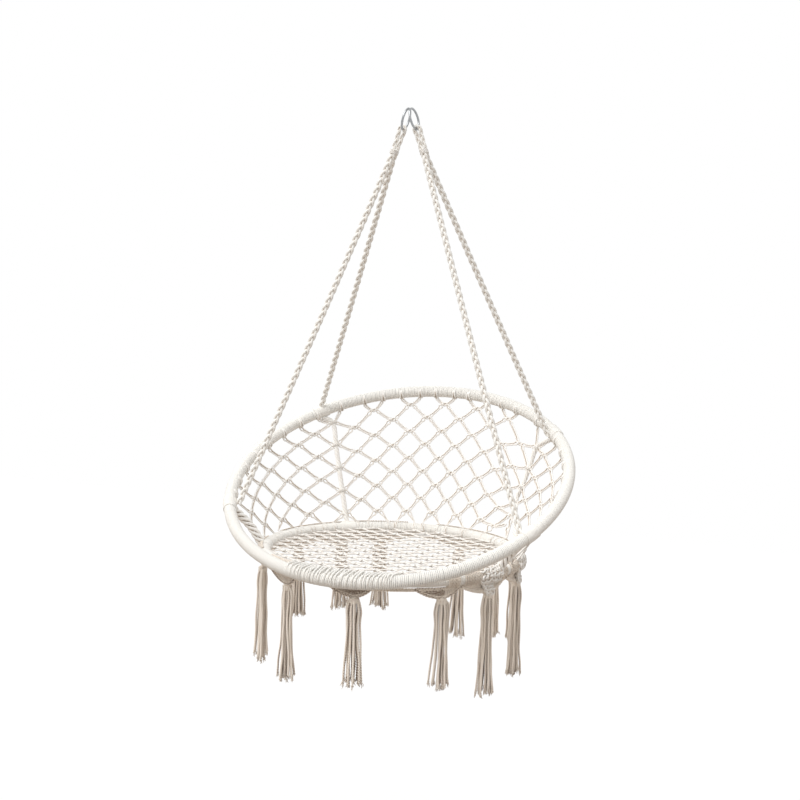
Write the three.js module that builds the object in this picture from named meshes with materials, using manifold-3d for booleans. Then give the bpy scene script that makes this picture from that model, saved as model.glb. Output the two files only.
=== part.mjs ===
// Hammock chair: a knotted net seat between two wrapped steel hoops, hung by four
// ropes from two steel rings, with a fringe of tassels under the seat.
// Millimetres. +Z is up, -Y is the front and +X is the right of a person facing it.
// The origin is the point where a hook carries both rings.

import * as THREE from 'three';
import { mergeVertices } from 'three/addons/utils/BufferGeometryUtils.js';
import Module from 'manifold-3d';

const wasm = await Module();
wasm.setup();

const degree = Math.PI / 180;
const fullTurn = 2 * Math.PI;

// Driving dimensions of the hoops and of how they hang

const largeHoopAcross = 800;
const seatHoopAcross = 600;
const wrappedTube = 28;
const steelTube = 22;
const steelWall = 1.5;
const ventHole = 4;
const wrapSeam = 1;
const largeHoopTilt = 25.8 * degree;
const frontRimDrop = 3;
const hoopGap = 0.9;
const hangHeight = 988;
const hangSetback = 35;

// Clearance between pieces that bear on each other, and overrun of a cut

const fit = 0.3;
const overrun = 5;

// Steel rings

const ringAcross = 52;
const ringWire = 5;
const ringSpread = 7.2;
const ringLean = 15 * degree;
const ringTurn = 3 * degree;

// Ropes, eyes, ties, bindings and legs

const ropeAcross = 13;
const eyeRopeAcross = 9;
const eyePlay = 3.4;
const eyeDrop = 45;
const tieLength = 15;
const tieAcross = 27;
const bindingLength = 40;
const bindingThickness = 3;
const legAcross = 13;
const legNetGap = 0.8;
const lashingLength = 240;
const lashingThickness = 3;

// Where ropes and legs sit on the hoops, as shares of a full turn from the front

const frontRopeTurnShare = 0.18;
const backRightRopeTurnShare = 0.353;
const backLeftRopeTurnShare = 0.3642;
const frontLegTurnShare = 0.2;
const backRightLegTurnShare = 0.336;
const backLeftLegTurnShare = 0.3835;

// Net between the hoops

const netCord = 6;
const netThickness = 5;
const netEdgeGap = 1.4;
const netColumns = 18;
const netPanels = 6;
const seamGap = 0.5;
const netEndTurnShare = 0.0048;
const firstRow = 17;
const secondRow = 27;
const rowPitch = 34.7;

// Seat net

const seatCord = 6;
const seatThickness = 5;
const seatGapAcross = 108;
const seatGapDeep = 86;
const seatEdgeGap = 0.4;

// Skirt and tassels

const skirtThickness = 5;
const skirtCord = 5;
const skirtBand = 4.5;
const skirtDepth = 24;
const skirtFanTurnShare = 0.0534;
const skirtTip = 9;
const skirtSlope = 12 * degree;
const knotAcross = 18;
const tasselDrop = 261;
const strandAcross = 5.4;
const strandPitch = 5.6;
const strandRowPitch = 5.6;
const strandSpread = 3.5;

// The twelve tassels, counted from the front towards +X: place and length
const tasselTurnShares = [
  0.008, 0.111, 0.178, 0.258, 0.333, 0.394, 0.458, 0.569, 0.625, 0.694, 0.806, 0.908,
];
const tasselDropShares = [0.86, 0.88, 1, 0.96, 0.8, 0.86, 0.97, 0.775, 0.76, 0.77, 0.965, 0.94];

// Strands of a tassel: place across it in strand pitches, row, and share of its length
const strandPlaces = [-1, 0, 1, -0.5, 0.5];
const strandRows = [0.5, 0.5, 0.5, -0.5, -0.5];
const strandLengthShares = [0.93, 1, 0.9, 0.97, 0.94];

// Facets

const hoopSides = 10;
const tubeSides = 6;
const ringSides = 8;
const largeHoopSteps = 48;
const seatHoopSteps = 36;
const ringSteps = 24;

const cotton = { color: 0xefebe4, roughness: 0.95, metalness: 0 };
const taupe = { color: 0xcfc0ae, roughness: 0.95, metalness: 0 };
const steel = { color: 0xa3a6a8, roughness: 0.35, metalness: 1 };

const chair = new THREE.Group();

const addPiece = (name, geometry, look) => {
  const flat = geometry.index ? geometry.toNonIndexed() : geometry;
  flat.computeVertexNormals();
  const mesh = new THREE.Mesh(flat, new THREE.MeshStandardMaterial(look));
  mesh.name = name;
  chair.add(mesh);
};

// Solids: a closed geometry becomes a solid that can be joined or cut, and back

const solidOf = (geometry) => {
  const bare = geometry.clone();
  bare.deleteAttribute('normal');
  bare.deleteAttribute('uv');
  const merged = mergeVertices(bare);
  const corners = merged.index.array;
  const kept = [];
  for (let i = 0; i < corners.length; i += 3) {
    const [a, b, c] = [corners[i], corners[i + 1], corners[i + 2]];
    if (a !== b && b !== c && c !== a) {
      kept.push(a, b, c);
    }
  }
  const vertProperties = Float32Array.from(merged.attributes.position.array);
  const triVerts = Uint32Array.from(kept);
  return new wasm.Manifold(new wasm.Mesh({ numProp: 3, vertProperties, triVerts }));
};

const geometryOf = (solid) => {
  const mesh = solid.getMesh();
  const geometry = new THREE.BufferGeometry();
  geometry.setAttribute('position', new THREE.BufferAttribute(mesh.vertProperties, 3));
  geometry.setIndex(new THREE.BufferAttribute(mesh.triVerts, 1));
  return geometry;
};

const cutBy = (solid, cutters) => cutters.reduce((left, cutter) => left.subtract(cutter), solid);

// Hoops

const wrapRadius = wrappedTube / 2;
const tubeRadius = steelTube / 2;

const hoopOf = (radius, steps, tilt, centre) => {
  const frame = new THREE.Matrix4().makeRotationX(tilt).setPosition(centre);
  return { radius, steps, frame };
};

const seatRadius = (seatHoopAcross - wrappedTube) / 2;
const largeRadius = (largeHoopAcross - wrappedTube) / 2;
const seatCentre = new THREE.Vector3(0, -hangSetback, -hangHeight);

// The front of the large hoop lies against the front of the seat hoop, a little lower
const frontReach = Math.sqrt((wrappedTube + hoopGap) ** 2 - frontRimDrop ** 2);
const largeCentre = new THREE.Vector3(
  0,
  seatCentre.y - seatRadius - frontReach + largeRadius * Math.cos(largeHoopTilt),
  seatCentre.z - frontRimDrop + largeRadius * Math.sin(largeHoopTilt),
);

const largeHoop = hoopOf(largeRadius, largeHoopSteps, largeHoopTilt, largeCentre);
const seatHoop = hoopOf(seatRadius, seatHoopSteps, 0, seatCentre);

const onHoop = (hoop, turn) => {
  const angle = turn * fullTurn;
  const flat = new THREE.Vector3(hoop.radius * Math.sin(angle), -hoop.radius * Math.cos(angle), 0);
  return flat.applyMatrix4(hoop.frame);
};

const hoopSolid = (hoop, radius, sides) => {
  const torus = new THREE.TorusGeometry(hoop.radius, radius, sides, hoop.steps);
  return solidOf(torus.applyMatrix4(hoop.frame));
};

class HoopArc extends THREE.Curve {
  constructor(hoop, middle, length) {
    super();
    this.hoop = hoop;
    this.middle = middle;
    this.share = length / (hoop.radius * fullTurn);
  }

  getPoint(t) {
    return onHoop(this.hoop, this.middle + (t - 0.5) * this.share);
  }
}

const roundSection = (radius, sides) => {
  const corner = (_, i) => {
    const angle = (i / sides) * fullTurn;
    return new THREE.Vector2(radius * Math.cos(angle), radius * Math.sin(angle));
  };
  return new THREE.Shape(Array.from({ length: sides }, corner));
};

const rodAlong = (path, radius, sides, steps) => {
  const options = { extrudePath: path, steps, bevelEnabled: false };
  return new THREE.ExtrudeGeometry(roundSection(radius, sides), options);
};

const rodBetween = (from, to, across, sides) => {
  const length = from.distanceTo(to);
  const rod = new THREE.CylinderGeometry(across / 2, across / 2, length, sides);
  const along = to.clone().sub(from).normalize();
  const turn = new THREE.Quaternion().setFromUnitVectors(new THREE.Vector3(0, 1, 0), along);
  const middle = from.clone().lerp(to, 0.5);
  return rod.applyQuaternion(turn).translate(middle.x, middle.y, middle.z);
};

// The steel tube has a vent hole for its weld, and the wrap a seam under the lashing
const addHoop = (name, hoop) => {
  const back = onHoop(hoop, 0.5);
  const inwards = onHoop(hoop, 0).sub(back).normalize();
  const ventEnd = back.clone().addScaledVector(inwards, tubeRadius + overrun);
  const vent = solidOf(rodBetween(back, ventEnd, ventHole, tubeSides));
  const bore = hoopSolid(hoop, tubeRadius - steelWall, tubeSides);
  const tube = cutBy(hoopSolid(hoop, tubeRadius, tubeSides), [bore, vent]);
  addPiece(`${name}_tube`, geometryOf(tube), steel);

  const front = onHoop(hoop, 0);
  const slit = new THREE.BoxGeometry(wrapSeam, 2 * wrappedTube, 2 * wrappedTube);
  slit.translate(front.x, front.y, front.z);
  const hollow = hoopSolid(hoop, tubeRadius + fit, tubeSides);
  const wrap = cutBy(hoopSolid(hoop, wrapRadius, hoopSides), [hollow, solidOf(slit)]);
  addPiece(`${name}_wrap`, geometryOf(wrap), cotton);
};

addHoop('large_hoop', largeHoop);
addHoop('seat_hoop', seatHoop);

const largeWrapSpace = hoopSolid(largeHoop, wrapRadius + fit, hoopSides);
const seatWrapSpace = hoopSolid(seatHoop, wrapRadius + fit, hoopSides);

// Bindings: short collars of cord round a wrapped hoop

const collarSteps = 3;
const collar = (hoop, turn, room) => {
  const arc = new HoopArc(hoop, turn, bindingLength + 2 * room);
  const radius = wrapRadius + bindingThickness + room;
  return solidOf(rodAlong(arc, radius, hoopSides, collarSteps));
};

const corners = [
  { name: 'front_right', side: 1, front: true, rope: frontRopeTurnShare, leg: frontLegTurnShare },
  { name: 'back_right', side: 1, front: false, rope: backRightRopeTurnShare, leg: backRightLegTurnShare },
  { name: 'back_left', side: -1, front: false, rope: backLeftRopeTurnShare, leg: backLeftLegTurnShare },
  { name: 'front_left', side: -1, front: true, rope: frontRopeTurnShare, leg: frontLegTurnShare },
];

// The front ropes end against the inner side of the large hoop, the back ones on top of it
const ropeInset = wrapRadius + fit + ropeAcross / 2;

for (const corner of corners) {
  corner.rope *= corner.side;
  corner.leg *= corner.side;
  corner.legTop = onHoop(largeHoop, corner.rope);
  corner.legEnd = onHoop(seatHoop, corner.leg);
  const inwards = onHoop(largeHoop, corner.rope + 0.5).sub(corner.legTop).normalize();
  corner.ropeEnd = corner.legTop.clone().addScaledVector(inwards, corner.front ? ropeInset : 0);
  corner.hoopSpace = collar(largeHoop, corner.rope, fit);
  corner.seatSpace = collar(seatHoop, corner.leg, fit);
  const hoopBinding = cutBy(collar(largeHoop, corner.rope, 0), [largeWrapSpace]);
  const seatBinding = cutBy(collar(seatHoop, corner.leg, 0), [seatWrapSpace]);
  addPiece(`${corner.name}_hoop_binding`, geometryOf(hoopBinding), cotton);
  addPiece(`${corner.name}_seat_binding`, geometryOf(seatBinding), cotton);
}

const hoopSpaces = corners.map((corner) => corner.hoopSpace);
const seatSpaces = corners.map((corner) => corner.seatSpace);
const wrapSpaces = [largeWrapSpace, seatWrapSpace];

// Front lashing: cord wound round both hoops where their fronts lie together

const lashingSteps = 8;
const lashingSides = 6;

const lashingSection = (x, radius) => {
  const seatPoint = onHoop(seatHoop, Math.asin(x / seatRadius) / fullTurn);
  const largePoint = onHoop(largeHoop, Math.asin(x / largeRadius) / fullTurn);
  const along = Math.atan2(largePoint.z - seatPoint.z, largePoint.y - seatPoint.y);
  const ends = [[largePoint, along - Math.PI / 2], [seatPoint, along + Math.PI / 2]];
  return ends.flatMap(([centre, start]) => Array.from({ length: lashingSides }, (_, i) => {
    const angle = start + (i / (lashingSides - 1)) * Math.PI;
    const y = centre.y + radius * Math.cos(angle);
    return new THREE.Vector3(x, y, centre.z + radius * Math.sin(angle));
  }));
};

const loftOf = (sections) => {
  const count = sections[0].length;
  const points = sections.flat();
  const middleOf = (section) => {
    const sum = section.reduce((total, point) => total.add(point), new THREE.Vector3());
    return sum.divideScalar(count);
  };
  const first = points.length;
  const last = sections.length - 1;
  points.push(middleOf(sections[0]), middleOf(sections[last]));
  const faces = [];
  for (let i = 0; i < count; i += 1) {
    const j = (i + 1) % count;
    for (let k = 0; k < last; k += 1) {
      const [a, b] = [k * count + i, k * count + j];
      faces.push(a, b, b + count, a, b + count, a + count);
    }
    faces.push(first, j, i, first + 1, last * count + i, last * count + j);
  }
  const geometry = new THREE.BufferGeometry().setFromPoints(points);
  geometry.setIndex(faces);
  return geometry;
};

const lashingBody = (room) => {
  const radius = wrapRadius + lashingThickness + room;
  const half = lashingLength / 2 + room;
  const sections = Array.from({ length: lashingSteps + 1 }, (_, i) => (
    lashingSection(half * ((2 * i) / lashingSteps - 1), radius)
  ));
  return solidOf(loftOf(sections));
};

const lashing = cutBy(lashingBody(0), wrapSpaces);
addPiece('front_lashing', geometryOf(lashing), cotton);
const lashingSpace = lashingBody(fit);

// Rings, rope eyes, ties and ropes, one set on each side

const ringRadius = (ringAcross - ringWire) / 2;
const ringInner = ringRadius - ringWire / 2;
const eyeBore = ringWire / 2 + eyePlay;
const bightRadius = eyeBore + eyeRopeAcross / 2;
const up = new THREE.Vector3(0, 0, 1);
const rearwards = new THREE.Vector3(0, 1, 0);

const ringFrame = (side) => {
  const down = new THREE.Vector3(side * Math.sin(ringLean), 0, -Math.cos(ringLean));
  const sideways = down.clone().cross(rearwards);
  const across = rearwards.clone().multiplyScalar(Math.cos(ringTurn));
  across.addScaledVector(sideways, side * Math.sin(ringTurn));
  const centre = new THREE.Vector3(
    side * (ringSpread / 2 + ringRadius * Math.sin(ringLean)),
    0,
    -ringInner * Math.cos(ringLean),
  );
  return { down, across, centre, wire: centre.clone().addScaledVector(down, ringRadius) };
};

const eyePath = (ring, eyeDown, eyeSide) => {
  const centre = ring.wire.clone().addScaledVector(eyeDown, eyePlay - fit);
  const bottom = ring.wire.clone().addScaledVector(eyeDown, eyeDrop);
  const closed = (eyeRopeAcross + fit) / 2;
  const middle = centre.clone().lerp(bottom, 0.5);
  const spread = (closed + bightRadius) / 2;
  const arcPoints = 5;
  const arc = Array.from({ length: arcPoints }, (_, i) => {
    const angle = (i / (arcPoints - 1)) * Math.PI;
    const point = centre.clone().addScaledVector(eyeSide, -bightRadius * Math.cos(angle));
    return point.addScaledVector(eyeDown, -bightRadius * Math.sin(angle));
  });
  return new THREE.CatmullRomCurve3([
    bottom.clone().addScaledVector(eyeSide, -closed),
    middle.clone().addScaledVector(eyeSide, -spread),
    ...arc,
    middle.clone().addScaledVector(eyeSide, spread),
    bottom.clone().addScaledVector(eyeSide, closed),
  ]);
};

const eyeSteps = 16;
const eyeSides = 6;
const ropeSides = 8;
const tieSides = 10;
const tieEndShare = 0.8;
const ropeLap = 8;

const barrelOf = (across, endAcross, length, start, along, sides) => {
  const profile = [
    new THREE.Vector2(0, 0),
    new THREE.Vector2(endAcross / 2, 0),
    new THREE.Vector2(across / 2, length / 3),
    new THREE.Vector2(across / 2, (2 * length) / 3),
    new THREE.Vector2(endAcross / 2, length),
    new THREE.Vector2(0, length),
  ];
  const barrel = new THREE.LatheGeometry(profile, sides);
  const turn = new THREE.Quaternion().setFromUnitVectors(new THREE.Vector3(0, 1, 0), along);
  return solidOf(barrel.applyQuaternion(turn).translate(start.x, start.y, start.z));
};

const addHanging = (name, side) => {
  const ring = ringFrame(side);
  const wire = new THREE.TorusGeometry(ringRadius, ringWire / 2, ringSides, ringSteps);
  const normal = ring.across.clone().cross(ring.down);
  const place = new THREE.Matrix4().makeBasis(ring.across, ring.down, normal).setPosition(ring.centre);
  addPiece(`${name}_ring`, wire.applyMatrix4(place), steel);

  // The eye hangs square to the ring's wire, along the mean pull of its two ropes
  const pair = corners.filter((corner) => corner.side === side);
  const pull = new THREE.Vector3();
  for (const corner of pair) {
    pull.add(corner.ropeEnd.clone().sub(ring.wire).normalize());
  }
  const eyeDown = pull.addScaledVector(ring.across, -pull.dot(ring.across)).normalize();
  const eyeSide = eyeDown.clone().cross(ring.across).normalize();
  const tieTop = ring.wire.clone().addScaledVector(eyeDown, eyeDrop + fit);
  const tieEnd = tieAcross * tieEndShare;
  const tie = barrelOf(tieAcross, tieEnd, tieLength, tieTop, eyeDown, tieSides);
  addPiece(`${name}_eye_tie`, geometryOf(tie), cotton);

  const spaceTop = tieTop.clone().addScaledVector(eyeDown, -fit);
  const roomy = 2 * fit;
  const [spaceAcross, spaceEnd] = [tieAcross + roomy, tieEnd + roomy];
  const tieSpace = barrelOf(spaceAcross, spaceEnd, tieLength + roomy, spaceTop, eyeDown, tieSides);
  const eye = solidOf(rodAlong(eyePath(ring, eyeDown, eyeSide), eyeRopeAcross / 2, eyeSides, eyeSteps));
  addPiece(`${name}_rope_eye`, geometryOf(cutBy(eye, [tieSpace])), cotton);

  const tieBottom = tieTop.clone().addScaledVector(eyeDown, tieLength);
  for (const corner of pair) {
    const shift = (corner.front ? -1 : 1) * ((ropeAcross + fit) / 2);
    const start = tieBottom.clone().addScaledVector(rearwards, shift);
    const along = corner.ropeEnd.clone().sub(start).normalize();
    start.addScaledVector(along, -ropeLap);
    const rope = solidOf(rodBetween(start, corner.ropeEnd, ropeAcross, ropeSides));
    const ropeSpaces = [tieSpace, corner.hoopSpace, largeWrapSpace];
    addPiece(`${corner.name}_rope`, geometryOf(cutBy(rope, ropeSpaces)), cotton);
  }
};

addHanging('left', -1);
addHanging('right', 1);

// Net between the hoops: a lattice drawn flat, cut out, and laid on the surface that
// joins the two hoops. Across the drawing, one unit of c is half a column of gaps.

const halfColumns = 2 * netColumns;
const netStart = frontRopeTurnShare + netEndTurnShare;
const netStartSeat = frontLegTurnShare + netEndTurnShare;
const halfColumn = (largeRadius * fullTurn * (1 - 2 * netStart)) / halfColumns;
const netOffset = wrapRadius + netEdgeGap;

const netLine = (c) => {
  const share = c / halfColumns;
  const top = onHoop(largeHoop, netStart + (1 - 2 * netStart) * share);
  const foot = onHoop(seatHoop, netStartSeat + (1 - 2 * netStartSeat) * share);
  const along = foot.clone().sub(top);
  const length = along.length() - 2 * netOffset;
  along.normalize();
  return { start: top.addScaledVector(along, netOffset), along, length };
};

const netPoint = (c, depth) => {
  const line = netLine(c);
  return line.start.addScaledVector(line.along, depth);
};

const probeShare = 0.01;
const netNormal = (c, depth) => {
  const across = netPoint(c + probeShare, depth).sub(netPoint(c - probeShare, depth));
  return across.cross(netLine(c).along).normalize();
};

const rowDepth = (row) => {
  if (row < 2) {
    return row * firstRow;
  }
  return firstRow + secondRow + (row - 2) * rowPitch;
};

// Flat drawing tools: a polygon drawn in from its edges, and clipped by a line

const areaOf = (polygon) => THREE.ShapeUtils.area(polygon);

const drawnIn = (polygon, inset) => {
  const turn = Math.sign(areaOf(polygon));
  const edges = polygon.map((point, i) => {
    const next = polygon[(i + 1) % polygon.length];
    const along = next.clone().sub(point).normalize();
    const inwards = new THREE.Vector2(-along.y, along.x).multiplyScalar(turn * inset);
    return { point: point.clone().add(inwards), along };
  });
  return edges.map((edge, i) => {
    const before = edges[(i + edges.length - 1) % edges.length];
    const gap = edge.point.clone().sub(before.point);
    const reach = gap.cross(edge.along) / before.along.cross(edge.along);
    return before.point.clone().addScaledVector(before.along, reach);
  });
};

// Keeps the side of the line where heightOf is positive, and the line itself
const clipped = (polygon, heightOf) => {
  const kept = [];
  polygon.forEach((point, i) => {
    const next = polygon[(i + 1) % polygon.length];
    const here = heightOf(point);
    const there = heightOf(next);
    if (here >= 0) {
      kept.push(point);
    }
    if (here * there < 0) {
      kept.push(point.clone().lerp(next, here / (here - there)));
    }
  });
  return kept;
};

const smallestGap = netCord * netCord;
const smallestCell = 1;
const largerThan = (polygon, area) => polygon.length > 2 && Math.abs(areaOf(polygon)) > area;

// Sheets: the cells of a drawing laid on a surface, each with an outline and perhaps a
// gap in it. Both faces have the same triangles, so that a bent sheet keeps its thickness.

const keyScale = 100;

const sheetOf = (cells, thickness, surface) => {
  const points = [];
  const numbers = new Map();
  const numberOf = ({ x, y }) => {
    const key = `${Math.round(x * keyScale)} ${Math.round(y * keyScale)}`;
    if (!numbers.has(key)) {
      numbers.set(key, points.length);
      points.push(surface(x, y, thickness / 2), surface(x, y, -thickness / 2));
    }
    return numbers.get(key);
  };
  const faces = [];
  const rims = new Map();
  for (const { outline, gaps } of cells) {
    const spots = [outline, ...gaps].flat();
    for (const face of THREE.ShapeUtils.triangulateShape(outline, gaps)) {
      const triangle = face.map((corner) => spots[corner]);
      if (areaOf(triangle) < 0) {
        triangle.reverse();
      }
      const [a, b, c] = triangle.map(numberOf);
      faces.push(a, b, c, a + 1, c + 1, b + 1);
      for (const [from, to] of [[a, b], [b, c], [c, a]]) {
        if (!rims.delete(`${to} ${from}`)) {
          rims.set(`${from} ${to}`, [from, to]);
        }
      }
    }
  }
  for (const [a, b] of rims.values()) {
    faces.push(b, a, a + 1, b, a + 1, b + 1);
  }
  const geometry = new THREE.BufferGeometry().setFromPoints(points);
  geometry.setIndex(faces);
  return solidOf(geometry);
};

const netCells = () => {
  const spot = (c, row) => new THREE.Vector2(c * halfColumn, rowDepth(row));
  const whole = [];
  for (let c = 0; c <= halfColumns; c += 2) {
    whole.push({ c, polygon: [spot(c - 0.5, 0), spot(c + 0.5, 0), spot(c, 1)] });
    whole.push({
      c: c + 1,
      polygon: [spot(c + 0.5, 0), spot(c + 1.5, 0), spot(c + 2, 1), spot(c + 1, 2), spot(c, 1)],
    });
  }
  const deepest = netLine(netColumns).length;
  for (let row = 2; rowDepth(row - 1) < deepest; row += 1) {
    for (let c = row % 2; c <= halfColumns; c += 2) {
      whole.push({ c, polygon: [spot(c, row - 1), spot(c + 1, row), spot(c, row + 1), spot(c - 1, row)] });
    }
  }
  const fitted = (polygon, margin) => {
    const right = halfColumns * halfColumn - margin;
    const footHeight = (point) => netLine(point.x / halfColumn).length - margin - point.y;
    const fromLeft = clipped(polygon, (point) => point.x - margin);
    return clipped(clipped(fromLeft, (point) => right - point.x), footHeight);
  };
  const cells = whole.map(({ c, polygon }) => {
    const gap = fitted(drawnIn(polygon, netCord / 2), netCord);
    return { c, outline: fitted(polygon, 0), gaps: largerThan(gap, smallestGap) ? [gap] : [] };
  });
  return cells.filter((cell) => largerThan(cell.outline, smallestCell));
};

// A panel takes the cells of its span, so two panels meet along a zigzag of cords
const panelSolid = (cells, from, to) => {
  const middle = (from + to) / 2;
  const squeeze = 1 - seamGap / ((to - from) * halfColumn);
  return sheetOf(cells, netThickness, (across, depth, off) => {
    const c = middle + (across / halfColumn - middle) * squeeze;
    return netPoint(c, depth).addScaledVector(netNormal(c, depth), off);
  });
};

const panelNames = ['right_front', 'right_side', 'right_back', 'left_back', 'left_side', 'left_front'];
const panelSpan = halfColumns / netPanels;
const latticeCells = netCells();
panelNames.forEach((name, i) => {
  const [from, to] = [i * panelSpan, (i + 1) * panelSpan];
  const own = latticeCells.filter(({ c }) => (c > from || i === 0) && (c <= to || i === netPanels - 1));
  const panel = cutBy(panelSolid(own, from, to), [...hoopSpaces, ...seatSpaces]);
  addPiece(`net_${name}`, geometryOf(panel), cotton);
});

// Legs: cord bundles from the large hoop down to the seat hoop. The back pair runs
// down just inside the net.

for (const corner of corners) {
  const from = corner.legTop.clone();
  const to = corner.legEnd.clone();
  if (!corner.front) {
    const middle = from.clone().lerp(to, 0.5);
    const along = to.clone().sub(from).normalize();
    const inwards = new THREE.Vector3(seatCentre.x - middle.x, seatCentre.y - middle.y, 0);
    inwards.addScaledVector(along, -inwards.dot(along)).normalize();
    const off = netThickness / 2 + legNetGap + legAcross / 2;
    from.addScaledVector(inwards, off);
    to.addScaledVector(inwards, off);
  }
  const leg = solidOf(rodBetween(from, to, legAcross, ropeSides));
  addPiece(`${corner.name}_leg`, geometryOf(cutBy(leg, [corner.hoopSpace, corner.seatSpace])), cotton);
}

// Seat net: a flat lattice across the seat hoop

const seatRim = seatRadius - wrapRadius - seatEdgeGap;

const clippedToRim = (polygon, margin) => {
  const reach = (seatRim - margin) * Math.cos(Math.PI / seatHoopSteps);
  let left = polygon;
  for (let i = 0; i < seatHoopSteps; i += 1) {
    const angle = ((i + 0.5) / seatHoopSteps) * fullTurn;
    const outwards = new THREE.Vector2(Math.cos(angle), Math.sin(angle));
    left = clipped(left, (point) => reach - point.dot(outwards));
  }
  return left;
};

const seatCells = () => {
  const [halfAcross, halfDeep] = [seatGapAcross / 2, seatGapDeep / 2];
  const columns = Math.ceil(seatRim / halfAcross);
  const rows = Math.ceil(seatRim / halfDeep);
  const spot = (column, row) => new THREE.Vector2(column * halfAcross, row * halfDeep);
  const cells = [];
  for (let row = -rows; row <= rows; row += 1) {
    for (let column = -columns; column <= columns; column += 1) {
      if ((row + column) % 2 === 0) {
        const polygon = [
          spot(column, row - 1),
          spot(column + 1, row),
          spot(column, row + 1),
          spot(column - 1, row),
        ];
        const outline = clippedToRim(polygon, 0);
        const gap = clippedToRim(drawnIn(polygon, seatCord / 2), seatCord);
        if (largerThan(outline, smallestCell)) {
          cells.push({ outline, gaps: largerThan(gap, smallestGap) ? [gap] : [] });
        }
      }
    }
  }
  return cells;
};

const seatSheet = sheetOf(seatCells(), seatThickness, (x, y, off) => (
  new THREE.Vector3(x, y, off).add(seatCentre)
));
addPiece('seat_net', geometryOf(cutBy(seatSheet, [...seatSpaces, lashingSpace])), cotton);

// Skirt: a band under the seat hoop, drawn down to a point over each tassel. Its
// drawing runs round the hoop, and down from the band's top edge.

const skirtTop = seatCentre.z - wrapRadius - fit - skirtThickness / 2;

const skirtPoint = (arc, depth, off) => {
  const angle = arc / seatRadius;
  const out = seatRadius + depth * Math.sin(skirtSlope) - off * Math.cos(skirtSlope);
  const z = skirtTop - depth * Math.cos(skirtSlope) - off * Math.sin(skirtSlope);
  return new THREE.Vector3(out * Math.sin(angle), seatCentre.y - out * Math.cos(angle), z);
};

const skirtArc = (turn) => turn * fullTurn * seatRadius;
const skirtStep = skirtArc(1 / seatHoopSteps);

const skirtSolid = (startTurn, endTurn, turns) => {
  const fan = skirtArc(skirtFanTurnShare) / 2;
  const tip = skirtTip / 2;
  const places = turns.map(skirtArc);
  const fans = places.flatMap((arc) => [arc - fan, arc, arc + fan]);
  const stops = [skirtArc(startTurn) + fit / 2, ...fans, skirtArc(endTurn) - fit / 2];
  const cells = [];
  for (let i = 1; i < stops.length; i += 1) {
    const span = stops[i] - stops[i - 1];
    const count = Math.ceil(span / skirtStep);
    for (let k = 0; k < count; k += 1) {
      const left = stops[i - 1] + (span * k) / count;
      const right = stops[i - 1] + (span * (k + 1)) / count;
      const band = [[left, 0], [right, 0], [right, skirtBand], [left, skirtBand]];
      cells.push({ outline: band.map(([x, y]) => new THREE.Vector2(x, y)), gaps: [] });
    }
  }
  for (const arc of places) {
    for (const side of [-1, 1]) {
      const top = new THREE.Vector2(arc, skirtBand);
      const outer = new THREE.Vector2(arc + side * fan, skirtBand);
      const corner = new THREE.Vector2(arc + side * tip, skirtDepth);
      const foot = new THREE.Vector2(arc, skirtDepth);
      const gap = drawnIn([top, outer, foot], skirtCord / 2);
      cells.push({ outline: [top, outer, corner, foot], gaps: [gap] });
    }
  }
  return sheetOf(cells, skirtThickness, skirtPoint);
};

// Each section holds the tassels between two seams, which lie midway between tassels
const tasselCount = tasselTurnShares.length;
const tasselTurn = (i) => tasselTurnShares[(i + tasselCount) % tasselCount] + Math.floor(i / tasselCount);
const skirtSections = [['front', -1, 1], ['right', 2, 5], ['back', 6, 8], ['left', 9, 10]];

for (const [name, first, last] of skirtSections) {
  const turns = [];
  for (let i = first; i <= last; i += 1) {
    turns.push(tasselTurn(i));
  }
  const startTurn = (tasselTurn(first - 1) + tasselTurn(first)) / 2;
  const endTurn = (tasselTurn(last) + tasselTurn(last + 1)) / 2;
  const skirt = cutBy(skirtSolid(startTurn, endTurn, turns), [...seatSpaces, ...wrapSpaces, lashingSpace]);
  addPiece(`skirt_${name}`, geometryOf(skirt), taupe);
}

// Tassels: a gathering knot with strands that spread as they fall

const strandSides = 3;
const knotSides = 6;
const strandTipShare = 0.7;
const skirtEdge = (skirtThickness / 2) * Math.sin(skirtSlope);
const knotFootShare = 1.1;
const knotWaistShare = 0.85;

const knotSolid = (radius) => {
  const profile = [
    new THREE.Vector2(0, -radius),
    new THREE.Vector2(radius * knotFootShare, -radius),
    new THREE.Vector2(radius * knotWaistShare, radius / 3),
    new THREE.Vector2(radius / 4, radius - fit),
    new THREE.Vector2(0, radius - fit),
  ];
  return solidOf(new THREE.LatheGeometry(profile, knotSides).rotateX(Math.PI / 2));
};

const tasselSolid = (turn, dropShare) => {
  const radius = knotAcross / 2;
  const tip = skirtPoint(skirtArc(turn), skirtDepth, 0);
  const centre = tip.clone().addScaledVector(up, -radius - skirtEdge);
  const drop = centre.z - (seatCentre.z - tasselDrop * dropShare);
  let tassel = knotSolid(radius);
  strandPlaces.forEach((place, i) => {
    const [x, y] = [place * strandPitch, strandRows[i] * strandRowPitch];
    const from = new THREE.Vector3(x, y, 0);
    const to = new THREE.Vector3(x * strandSpread, y * strandSpread, -drop * strandLengthShares[i]);
    const length = from.distanceTo(to);
    const thick = strandAcross / 2;
    const strand = new THREE.CylinderGeometry(thick, thick * strandTipShare, length, strandSides);
    const along = from.clone().sub(to).normalize();
    const lean = new THREE.Quaternion().setFromUnitVectors(new THREE.Vector3(0, 1, 0), along);
    const middle = from.clone().lerp(to, 0.5);
    strand.applyQuaternion(lean).translate(middle.x, middle.y, middle.z);
    tassel = tassel.add(solidOf(strand));
  });
  const geometry = geometryOf(tassel);
  return geometry.rotateZ(turn * fullTurn).translate(centre.x, centre.y, centre.z);
};

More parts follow.
